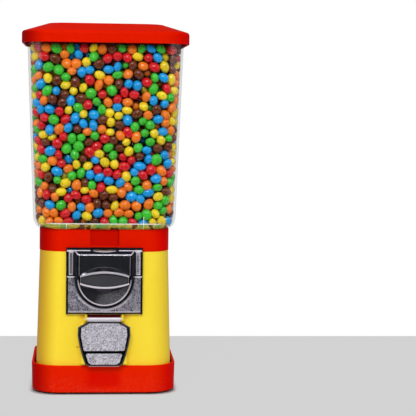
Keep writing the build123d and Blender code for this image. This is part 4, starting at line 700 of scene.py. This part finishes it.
def knob_pebbles(place, facing):
    """The pebbled skin on the disc, below the grip and mostly on the right: a painted pale speckled
    reflection.
    """
    across, depth, height = place.axes()
    over = height - knob_centre.z
    lit_low_right = (across - over * 0.6).ease(0.0, 0.022) * 0.95 + 0.05
    return faces_front(facing) * lit_low_right * over.ease(-0.004, -0.010) * depth.ease(*BEHIND_GRIP) * 0.8


def knob_painted_dark(place, facing):
    """Painted dark reflection and shade: the grip's panel, flanks and ends, and a little of the disc
    below the grip.
    """
    across, depth, height = place.axes()
    behind = depth.ease(*BEHIND_GRIP)
    lower = (height - knob_centre.z).ease(-0.002, -0.009) * behind * 0.34
    flank = (1 - faces_front(facing)) * (1 - behind) * depth.ease(*FLANK_FRONT)
    ends = depth.ease(*GRIP_FACE) * across.math("ABSOLUTE").ease(*GRIP_ENDS)
    return (panel(depth, facing) * 0.5 + flank * 0.95 + lower + ends).math("MINIMUM", 1.0)


def knob_highlights(place, facing):
    """Painted highlights: the pale rim of the disc's lower half, and the border and end lines of the
    grip.
    """
    across, depth, _ = place.axes()
    aside = across.math("ABSOLUTE")
    radius, over = from_axis(place)
    rim = radius.ease(*KNOB_RIM) * over.ease(0.0, -0.006) * 0.9
    bow = 1 - (across / GRIP_HALF_LENGTH).math("POWER", 2.0)
    from_rim = over.math("ABSOLUTE") - (bow * (GRIP_HALF_HEIGHT - GRIP_END_HALF) + GRIP_END_HALF)
    border = from_rim.ease(*BORDER_SPAN) * aside.ease(*BORDER_ACROSS)
    border = border * (1 - over.ease(0.0, 0.002) * 0.3)
    end_line = aside.band(*OUTER_END_LINE) * 0.4 + aside.band(*INNER_END_LINE) * 0.35
    on_face = depth.ease(*GRIP_FACE) * (border + end_line)
    return (rim + on_face + panel(depth, facing) * 0.17).math("MINIMUM", 1.0)


knob_chrome = chrome("knob_chrome", knob_pebbles, knob_painted_dark, knob_highlights, KNOB_LOW, KNOB_HIGH, grain=0.8)
dress(knob_chrome, "handle")

# Chute door: a shield-shaped zinc casting with two pebbled panels, chrome plated, hung on a pin
# between the body's ears. Its bevels and the groove between the panels are polished and painted
# nearly black, a painted dark reflection, and its barrel and lower lip are painted pale as painted
# highlights.
DOOR_LOW = colour(98, 97, 110)
DOOR_HIGH = colour(232, 228, 238)
DOOR_LEAN = math.radians(6)
DOOR_THICKNESS = 0.003
PANEL_RISE = (DOOR_THICKNESS + 0.0004, DOOR_THICKNESS + 0.0006)
NECK = (HINGE_PLACE.z - 0.0042, HINGE_PLACE.z - 0.0050)
BARREL_FOOT = HINGE_PLACE.z - 0.0018
BEVEL_TOP = HINGE_PLACE.z - 0.0026
door_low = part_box("chute_door")[0]
DOOR_LIP = (door_low.z + 0.0012, door_low.z + 0.0006)


def door_pebbles(place, facing):
    """1 on the two panels, which stand out from the door's leaning plate."""
    _, depth, height = place.axes()
    ahead = (depth - HINGE_PLACE.y) * -math.cos(DOOR_LEAN)
    stand_off = ahead + (height - HINGE_PLACE.z) * math.sin(DOOR_LEAN)
    return stand_off.ease(*PANEL_RISE) * height.ease(*NECK)


def door_painted_dark(place, facing):
    # Painted dark reflection on the bevels and the groove below the barrel.
    below_barrel = place.axes()[2].ease(BARREL_FOOT, BEVEL_TOP)
    return (1 - door_pebbles(place, facing)) * below_barrel * 0.85


def door_highlights(place, facing):
    # Painted highlights: the pale barrel and lower lip.
    height = place.axes()[2]
    barrel = height.ease(BEVEL_TOP, BARREL_FOOT) * 0.9
    lip = height.ease(*DOOR_LIP) * 0.7
    return (barrel + lip + door_pebbles(place, facing) * 0.08).math("MINIMUM", 1.0)


door_chrome = chrome("door_chrome", door_pebbles, door_painted_dark, door_highlights, DOOR_LOW, DOOR_HIGH, grain=1.1)
dress(door_chrome, "chute_door")

# Collar: the square ring that the globe stands on, moulded in the tray's red plastic and screwed
# to the body from inside. The coin slot ends in a recess at its front, painted darker as painted
# shade, with a painted shadow over the slot and a painted pale edge along it.
RECESS_HALF = 0.0166
RECESS_ROOF = (0.0068, 0.0074)
COLLAR_FRONT = (-0.066, -0.070)
DUST_FREE = 0.1
collar_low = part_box("top_collar")[0]


def collar_painted_shade(place):
    """Painted shade inside the recess and at its two upright edges, a painted shadow over the coin
    slot, and a painted highlight along the slot's lower edge.
    """
    across, depth, height = place.axes()
    aside = across.math("ABSOLUTE")
    front = depth.ease(*COLLAR_FRONT)
    upper = front * height.ease(*[collar_low.z + rise for rise in RECESS_ROOF])
    inside = aside.ease(RECESS_HALF, RECESS_HALF - 0.0006) * upper
    edge = aside.band(RECESS_HALF - 0.0007, RECESS_HALF + 0.0005, SOFT) * upper
    more_on_the_right = across.ease(-0.004, 0.004) * 0.5 + 0.3
    slot = aside.ease(RECESS_HALF, RECESS_HALF - 0.0004) * front
    shadow_over_slot = slot * height.ease(plate_high.z + 0.0004, plate_high.z - 0.0002)
    lit_slot_edge = slot * height.near(slot_arc(across), 0.0008, 0.0004)
    return [
        (inside * 0.7, colour(186, 6, 0)),
        (edge * more_on_the_right * 0.8, colour(110, 6, 0)),
        (shadow_over_slot, colour(26, 20, 24)),
        (lit_slot_edge, colour(168, 140, 112)),
    ]


red_collar = moulded_plastic(
    "red_collar_plastic", RED, RED_SHADE, RED_SIDE_SHADES, collar_low.z - DUST_FREE, collar_painted_shade
)
dress(red_collar, "top_collar")

# Globe: a clear tapered square jar with a rounded foot and a floor with a wide outlet. Near its foot
# pale lines are painted as highlights: one along the foot and two glints of small mould marks. It is
# thin polycarbonate, so it mostly shows what is behind it. It stands in the collar, and the lid holds
# it down.
GLOBE_WALL = 0.0025
GLOBE_CORNER = 0.029
GLOBE_SHOULDER_RISE = 0.0162
GLOBE_SHOULDER_HALF = 0.0842
GLOBE_FOOT_INSET = 0.0085
GLOBE_FLOOR = 0.003
GLOBE_FLOOR_INSET = 0.0015
GLOBE_OUTLET = 0.064
GLOBE_LIP = 0.0006
GLOBE_LIP_INSET = 0.0008
GLOBE_FRONT = (-0.070, -0.076)
THICK_FOOT = 0.0068
FOOT_GLINT_ACROSS = (0.072, 0.060)
LOW_GLINT = (-0.0446, 0.0007, 0.0003)
LOW_GLINT_TOP = (0.0072, 0.0066)
TALL_GLINT = (0.0452, 0.0006, 0.0002)
TALL_GLINT_TOP = (0.0160, 0.0150)
CORNER_STEPS = 10
FOOT_STEPS = 7
SHARP_EDGE = math.radians(38)
CLEAR_TINT = (0.985, 0.988, 0.985, 1.0)
SMOKY_TINT = (0.80, 0.80, 0.79, 1.0)
HAZE_TINT = (0.9, 0.92, 0.92, 1.0)
globe_low, globe_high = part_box("globe")
GLOBE_TOP_HALF = globe_high.x
GLOBE_TAPER_HEIGHT = globe_high.z - globe_low.z - GLOBE_SHOULDER_RISE


def globe_half(height):
    """Half of the globe's outer width at a height."""
    rise = np.asarray(height, float) - globe_low.z
    share = (rise - GLOBE_SHOULDER_RISE) / GLOBE_TAPER_HEIGHT
    tapered = GLOBE_SHOULDER_HALF + np.maximum(share, 0) * (GLOBE_TOP_HALF - GLOBE_SHOULDER_HALF)
    below = np.clip(1 - rise / GLOBE_SHOULDER_RISE, 0, 1)
    return tapered - GLOBE_FOOT_INSET * (1 - np.sqrt(1 - below**2))


def square_loop(half, corner, height):
    """Points of a rounded square, anticlockwise seen from above."""
    points = []
    for quarter in range(4):
        middle = math.pi / 4 + quarter * math.pi / 2
        centre_x = math.copysign(half - corner, math.cos(middle))
        centre_y = math.copysign(half - corner, math.sin(middle))
        for step in range(CORNER_STEPS + 1):
            angle = quarter * math.pi / 2 + step / CORNER_STEPS * math.pi / 2
            points.append((centre_x + corner * math.cos(angle), centre_y + corner * math.sin(angle), height))
    return points


def round_loop(radius, like, height):
    """Points of a circle in the directions of another loop's points."""
    points = []
    for x, y, _ in like:
        length = math.hypot(x, y)
        points.append((x / length * radius, y / length * radius, height))
    return points


def skin_loops(name, loops):
    """Closed mesh through loops of equal length, the last joined to the first."""
    count = len(loops[0])
    faces = []
    for ring in range(len(loops)):
        below = ring * count
        above = (ring + 1) % len(loops) * count
        for step in range(count):
            following = (step + 1) % count
            faces.append((below + step, below + following, above + following, above + step))
    mesh = bpy.data.meshes.new(name)
    mesh.from_pydata([point for loop in loops for point in loop], [], faces)
    mesh.update()
    piece = bpy.data.objects.new(name, mesh)
    bpy.context.collection.objects.link(piece)
    return piece


def wall_loops(inset, heights):
    return [square_loop(float(globe_half(z)) - inset, GLOBE_CORNER - inset, z) for z in heights]


foot_turns = [math.pi / 2 * step / FOOT_STEPS for step in range(1, FOOT_STEPS + 1)]
foot_heights = [globe_low.z + GLOBE_SHOULDER_RISE * (1 - math.cos(turn)) for turn in foot_turns]
outer = wall_loops(0, [globe_low.z + 0.0001] + foot_heights + [globe_high.z - GLOBE_LIP])
rim = wall_loops(GLOBE_LIP_INSET, [globe_high.z]) + wall_loops(GLOBE_WALL - GLOBE_LIP_INSET, [globe_high.z])
inner_floor = globe_low.z + GLOBE_FLOOR
inner_foot = [z + GLOBE_FLOOR * 0.6 for z in reversed(foot_heights)]
inner = wall_loops(GLOBE_WALL, [globe_high.z - GLOBE_LIP] + inner_foot + [inner_floor + 0.0004])
floor_edge = wall_loops(GLOBE_WALL + GLOBE_FLOOR_INSET, [inner_floor])
outlet_top = [round_loop(GLOBE_OUTLET, floor_edge[0], inner_floor)]
outlet_low = [round_loop(GLOBE_OUTLET, floor_edge[0], globe_low.z)]
under = wall_loops(GLOBE_FLOOR_INSET, [globe_low.z])
globe = skin_loops("globe_shell", outer + rim + inner + floor_edge + outlet_top + outlet_low + under)
for polygon in globe.data.polygons:
    polygon.use_smooth = True
globe.data.set_sharp_from_angle(angle=SHARP_EDGE)


def clear_plastic(name):
    """Thin clear plastic: see-through and faintly hazy, mirror-like at a slant, and smoky where it
    is seen edge on. Its thick foot blurs the candies behind it, and pale painted highlights lie near
    the foot."""
    made, wire, place = new_material(name)
    across, depth, height = place.axes()
    front = depth.ease(*GLOBE_FRONT)
    rise = height - globe_low.z
    waves = place.noise(scale=26.0) + place.noise(scale=500.0) * 0.03
    ripple = waves.bump(strength=0.05, distance=0.002)
    slant = wire.node("LayerWeight", {"Blend": 0.5, "Normal": ripple}, out="Facing")
    clear = wire.node("BsdfTransparent", {"Color": CLEAR_TINT})
    smoky = wire.node("BsdfTransparent", {"Color": SMOKY_TINT})
    body = wire.node("MixShader", {0: slant.ease(0.75, 1.0), 1: clear, 2: smoky})
    haze = place.noise(scale=90.0, detail=4.0, roughness=0.65).ease(0.55, 0.95)
    sockets = {"Base Color": HAZE_TINT, "Roughness": 0.05, "Normal": ripple, "IOR": 1.45}
    body = wire.node("MixShader", {0: haze * 0.012, 1: body, 2: wire.node("BsdfPrincipled", sockets)})

    spots = place.noise(scale=95.0, detail=1.0)
    candies = spots.ease(0.40, 0.46).mix(colour(120, 92, 60), colour(240, 222, 92))
    candies = spots.ease(0.52, 0.60).mix(candies, colour(146, 204, 104))
    thick = rise.ease(THICK_FOOT + 0.0002, THICK_FOOT - 0.0006) * front
    matt = {"Roughness": 0.8, "Specular IOR Level": 0.0}
    blurred = wire.node("BsdfPrincipled", {"Base Color": candies, **matt})
    body = wire.node("MixShader", {0: thick * 0.5, 1: body, 2: blurred})

    # Painted highlights: a pale line along the foot and two glints of mould marks.
    foot_glint = rise.band(THICK_FOOT - 0.0005, THICK_FOOT + 0.0005, CRISP)
    foot_glint = foot_glint * across.math("ABSOLUTE").ease(*FOOT_GLINT_ACROSS)
    low_glint = across.near(*LOW_GLINT) * rise.ease(*LOW_GLINT_TOP)
    tall_glint = across.near(*TALL_GLINT) * rise.ease(*TALL_GLINT_TOP)
    marks = (foot_glint * 0.75 + low_glint * 0.6 + tall_glint * 0.5).math("MINIMUM", 1.0) * front
    glint_white = wire.node("BsdfPrincipled", {"Base Color": WHITE, **matt})
    body = wire.node("MixShader", {0: marks, 1: body, 2: glint_white})

    mirror = slant.math("POWER", 5.0) * 0.12 + 0.022
    gloss = wire.node("BsdfGlossy", {"Color": WHITE, "Roughness": 0.04, "Normal": ripple})
    shell = wire.node("MixShader", {0: mirror, 1: body, 2: gloss})
    wire.node("OutputMaterial", {"Surface": shell})
    return made


globe.data.materials.append(clear_plastic("clear_plastic"))
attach(globe, "root")
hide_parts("globe")

# Candies: sugar-coated lumps in six colours, tumbled into the globe until they jam. They lie flat
# against the wall, as coated candies do, and no two are quite the same size. Those that lie behind
# the first layer are painted dark, a painted shade.
CANDY_RADII = np.array([7.1, 6.15, 5.35]) / 1000
CANDY_SMALLEST = 0.86
CANDY_LARGEST = 1.04
CANDY_UNEVENNESS = 0.05
CANDY_SHARE = 0.70
CANDY_WALL_GAP = 0.0002
CANDY_COUNT_LIMIT = 6000
NEIGHBOUR_REACH = 0.0165
RELAX_STEPS = 130
LIST_STEPS = 10
PUSH_SHARE = 0.42
FLAT_REACH = 0.010
WALL_PULL = 0.75
LOOSE_PULL = 0.85
BURIED_SHADE_DEPTHS = (0.0036, 0.0088)
BURIED_SHADE_UNDER_TOP = (0.0060, 0.0125)
BURIED_SHADE_SHARE = 0.94
rod_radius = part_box("centre_rod")[1].x
fill_low, fill_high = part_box("candy_fill")
chance = np.random.default_rng(11)


def wall_distance(points):
    """How far inside the globe's inner wall each point is, and the wall's direction there."""
    half = globe_half(points[:, 2]) - GLOBE_WALL - CANDY_WALL_GAP
    corner = GLOBE_CORNER - GLOBE_WALL
    beyond = np.abs(points[:, :2]) - (half - corner)[:, None]
    outside = np.maximum(beyond, 0)
    length = np.linalg.norm(outside, axis=1)
    distance = corner - length - np.minimum(beyond.max(axis=1), 0)
    flat = np.where(beyond[:, :1] > beyond[:, 1:], [[1.0, 0.0]], [[0.0, 1.0]])
    direction = np.where(length[:, None] > 1e-9, outside / np.maximum(length, 1e-9)[:, None], flat)
    return distance, np.column_stack([direction * np.sign(points[:, :2]), np.zeros(len(points))])


def reach(turns, radii, directions):
    """Half the candy's extent along a direction, between its true radius and its support."""
    local = np.einsum("nij,ni->nj", turns, directions)
    support = np.linalg.norm(local * radii, axis=1)
    radial = 1 / np.linalg.norm(local / radii, axis=1)
    return (support + radial) / 2


def scatter_candies():
    """Places, turns and radii of the candies."""
    size = np.array([2 * GLOBE_TOP_HALF, 2 * GLOBE_TOP_HALF, fill_high.z - fill_low.z])
    candy_volume = 4 / 3 * math.pi * CANDY_RADII.prod() * ((CANDY_SMALLEST + CANDY_LARGEST) / 2) ** 3
    tries = int(CANDY_SHARE * size.prod() / candy_volume)
    places = (chance.random((tries, 3)) - [0.5, 0.5, 0]) * size + [0, 0, fill_low.z]
    places = places[wall_distance(places)[0] > 0][:CANDY_COUNT_LIMIT]
    count = len(places)
    radii = CANDY_RADII * chance.uniform(CANDY_SMALLEST, CANDY_LARGEST, (count, 1))
    radii *= chance.normal(1, CANDY_UNEVENNESS, (count, 3))
    distance, wall = wall_distance(places)
    loose = chance.normal(0, 1, (count, 3))
    loose /= np.linalg.norm(loose, axis=1)[:, None]
    flatness = np.clip(1.25 - distance / FLAT_REACH, 0.25, 1.0)[:, None]
    short = wall * flatness * WALL_PULL + loose * LOOSE_PULL
    short /= np.linalg.norm(short, axis=1)[:, None]
    long_axis = np.cross(short, chance.normal(0, 1, (count, 3)))
    long_axis /= np.linalg.norm(long_axis, axis=1)[:, None]
    turns = np.stack([long_axis, np.cross(short, long_axis), short], axis=2)
    upward = np.tile([0.0, 0.0, 1.0], (count, 1))
    half_height = reach(turns, radii, upward)
    for step in range(RELAX_STEPS):
        if step % LIST_STEPS == 0:
            tree = kdtree.KDTree(count)
            for index, place in enumerate(places):
                tree.insert(place, index)
            tree.balance()
            pairs = []
            for index, place in enumerate(places):
                found = tree.find_range(place, NEIGHBOUR_REACH)
                pairs += [(index, other) for _, other, _ in found if other > index]
            first, second = np.array(pairs).T
        gap = places[second] - places[first]
        length = np.maximum(np.linalg.norm(gap, axis=1), 1e-6)
        along = gap / length[:, None]
        touching = reach(turns[first], radii[first], along) + reach(turns[second], radii[second], along)
        push = np.maximum(touching - length, 0)[:, None] * along * PUSH_SHARE
        for axis in range(3):
            places[:, axis] -= np.bincount(first, push[:, axis], count)
            places[:, axis] += np.bincount(second, push[:, axis], count)
        distance, wall = wall_distance(places)
        into_wall = np.maximum(reach(turns, radii, wall) - distance, 0)
        places -= wall * into_wall[:, None]
        lowest = inner_floor + CANDY_WALL_GAP + half_height
        places[:, 2] = np.clip(places[:, 2], lowest, fill_high.z - half_height)
        from_rod = np.maximum(np.linalg.norm(places[:, :2], axis=1), 1e-6)
        clear = np.maximum(rod_radius + radii[:, 0] - from_rod, 0)
        places[:, :2] += places[:, :2] / from_rod[:, None] * clear[:, None]
    return places, turns, radii


def candy_tree():
    """Node tree that sets an uneven rounded candy on each point, to its own size and turn."""
    tree = bpy.data.node_groups.new("candies_on_points", "GeometryNodeTree")
    inputs = {
        "Points": "NodeSocketGeometry",
        "Coat": "NodeSocketMaterial",
        "Segments": "NodeSocketInt",
        "Rings": "NodeSocketInt",
        "Unevenness": "NodeSocketFloat",
        "Lump size": "NodeSocketFloat",
    }
    for name, kind in inputs.items():
        tree.interface.new_socket(name, in_out="INPUT", socket_type=kind)
    tree.interface.new_socket("Candies", in_out="OUTPUT", socket_type="NodeSocketGeometry")
    wire = Wire(tree)
    given = {name: wire.node("NodeGroupInput", out=name) for name in inputs}
    own = {}
    for name in ("turn", "radii"):
        own[name] = wire.node(
            "GeometryNodeInputNamedAttribute", {"Name": name}, out="Attribute", data_type="FLOAT_VECTOR"
        )
    sizes = {"Segments": given["Segments"], "Rings": given["Rings"], "Radius": 1.0}
    ball = wire.node("GeometryNodeMeshUVSphere", sizes, out="Mesh")
    each_candy = {
        "Points": given["Points"],
        "Instance": wire.node("GeometryNodeSetShadeSmooth", {"Geometry": ball}),
        "Rotation": own["turn"],
        "Scale": own["radii"],
    }
    placed = wire.node("GeometryNodeInstanceOnPoints", each_candy)
    real = wire.node("GeometryNodeRealizeInstances", {"Geometry": placed})
    lumps = wire.node("TexNoise", {"Scale": given["Lump size"], "Detail": 0.0})
    amount = (lumps - 0.5) * given["Unevenness"]
    normal = wire.node("GeometryNodeInputNormal")
    offset = wire.node("VectorMath", {0: normal, "Scale": amount}, operation="SCALE")
    moved = wire.node("GeometryNodeSetPosition", {"Geometry": real, "Offset": offset})
    coated = wire.node("GeometryNodeSetMaterial", {"Geometry": moved, "Material": given["Coat"]})
    wire.node("NodeGroupOutput", {0: coated})
    return tree


def sugar_coat(name, main):
    """Polished sugar coat: the colour is a little uneven, paler where the coat is rubbed, and painted
    dark on the candies behind the first layer, a painted shade."""
    made, wire, place = new_material(name)
    own = wire.node("Attribute", out="Fac", attribute_name="tone")
    mottle = place.noise(scale=330.0, detail=3.0, roughness=0.6)
    rubbed = place.noise(scale=1100.0, roughness=0.6).ease(0.56, 0.80)
    uneven = mottle.ease(0.30, 0.62) * 0.7 + own * 0.3
    tint = uneven.mix(toned(main, 0.70), toned(main, 1.12, lift=0.004))
    tint = (rubbed * 0.14).mix(tint, toned(main, 0.5, lift=0.5))
    height = place.axes()[2]
    share = (height - (globe_low.z + GLOBE_SHOULDER_RISE)) / GLOBE_TAPER_HEIGHT
    half = share * (GLOBE_TOP_HALF - GLOBE_SHOULDER_HALF) + (GLOBE_SHOULDER_HALF - GLOBE_WALL)
    # Painted shade on the candies behind the first layer and below the top of the fill.
    buried_shade = place.inside_square(half, GLOBE_CORNER).ease(*BURIED_SHADE_DEPTHS)
    buried_shade = buried_shade * height.ease(*[fill_high.z - under_top for under_top in BURIED_SHADE_UNDER_TOP])
    grain = mottle * 0.7 + place.noise(scale=1400.0) * 0.3
    sockets = {
        "Base Color": (buried_shade * BURIED_SHADE_SHARE).mix(tint, toned(main, 0.08)),
        "Roughness": 0.30 + mottle * 0.14,
        "Normal": grain.bump(strength=0.35, distance=0.0006),
        "Coat Weight": 1.0,
        "Coat Roughness": 0.08,
        "Specular IOR Level": 0.04,
        "IOR": 1.5,
    }
    principled(wire, sockets)
    return made


CANDY_COLOURS = {
    "blue": (colour(0, 156, 232), 0.17),
    "green": (colour(58, 192, 44), 0.21),
    "orange": (colour(255, 124, 18), 0.19),
    "yellow": (colour(246, 212, 24), 0.16),
    "red": (colour(214, 12, 24), 0.12),
    "brown": (colour(104, 42, 6), 0.17),
}

candy_places, candy_turns, candy_radii = scatter_candies()
shares = np.cumsum([share for _, share in CANDY_COLOURS.values()])
candy_kinds = np.searchsorted(shares / shares[-1], chance.random(len(candy_places)))
candy_tones = chance.random(len(candy_places))
candies_on_points = candy_tree()
candy_pieces = []
for kind, (name, (main, _)) in enumerate(CANDY_COLOURS.items()):
    chosen = np.flatnonzero(candy_kinds == kind)
    points = bpy.data.meshes.new(name + "_points")
    points.from_pydata(candy_places[chosen].tolist(), [], [])
    eulers = [list(Matrix(candy_turns[i].tolist()).to_euler()) for i in chosen]
    attributes = {
        "turn": ("FLOAT_VECTOR", "vector", np.ravel(eulers)),
        "radii": ("FLOAT_VECTOR", "vector", candy_radii[chosen].ravel()),
        "tone": ("FLOAT", "value", candy_tones[chosen]),
    }
    for title, (sort, field, values) in attributes.items():
        points.attributes.new(title, sort, "POINT").data.foreach_set(field, values)
    seeds = bpy.data.objects.new(name + "_points", points)
    bpy.context.collection.objects.link(seeds)
    modifier = seeds.modifiers.new("candies", "NODES")
    modifier.node_group = candies_on_points
    coat = sugar_coat("candy_coat_" + name, main)
    values = {"Coat": coat, "Segments": 12, "Rings": 7, "Unevenness": 0.0016, "Lump size": 105.0}
    for socket in candies_on_points.interface.items_tree:
        if socket.name in values and socket.in_out == "INPUT":
            modifier[socket.identifier] = values[socket.name]
    grown = seeds.evaluated_get(bpy.context.evaluated_depsgraph_get())
    mesh = bpy.data.meshes.new_from_object(grown)
    mesh.name = "candies_" + name
    bpy.data.objects.remove(seeds)
    piece = bpy.data.objects.new("candies_" + name, mesh)
    bpy.context.collection.objects.link(piece)
    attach(piece, "root")
    candy_pieces.append(piece)
for piece in candy_pieces:
    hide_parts("candy_fill")

# Lid: a red moulded cap with a deep skirt, which holds the globe down. A lock with a ring key sits
# in a well in its middle and screws on the rod, in a chrome plated housing.
LID_RED = colour(214, 26, 0)
LID_SHADE = colour(208, 22, 0)
# Painted shade: the colours of the walls that turn to the left and to the right.
LID_SIDE_SHADES = (colour(150, 0, 0), colour(218, 2, 0))
lid_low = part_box("lid")[0]
red_lid = moulded_plastic("red_lid_plastic", LID_RED, LID_SHADE, LID_SIDE_SHADES, lid_low.z - DUST_FREE)
dress(red_lid, "lid")


def nowhere(place, facing):
    """No pebbles, dark or pale: the share is 0 all over."""
    return place.axes()[2] * 0.0


lock_chrome = chrome("lock_chrome", nowhere, nowhere, nowhere, CHROME_PAINTED_DARK, CHROME_HIGHLIGHT)
dress(lock_chrome, "lock_housing")
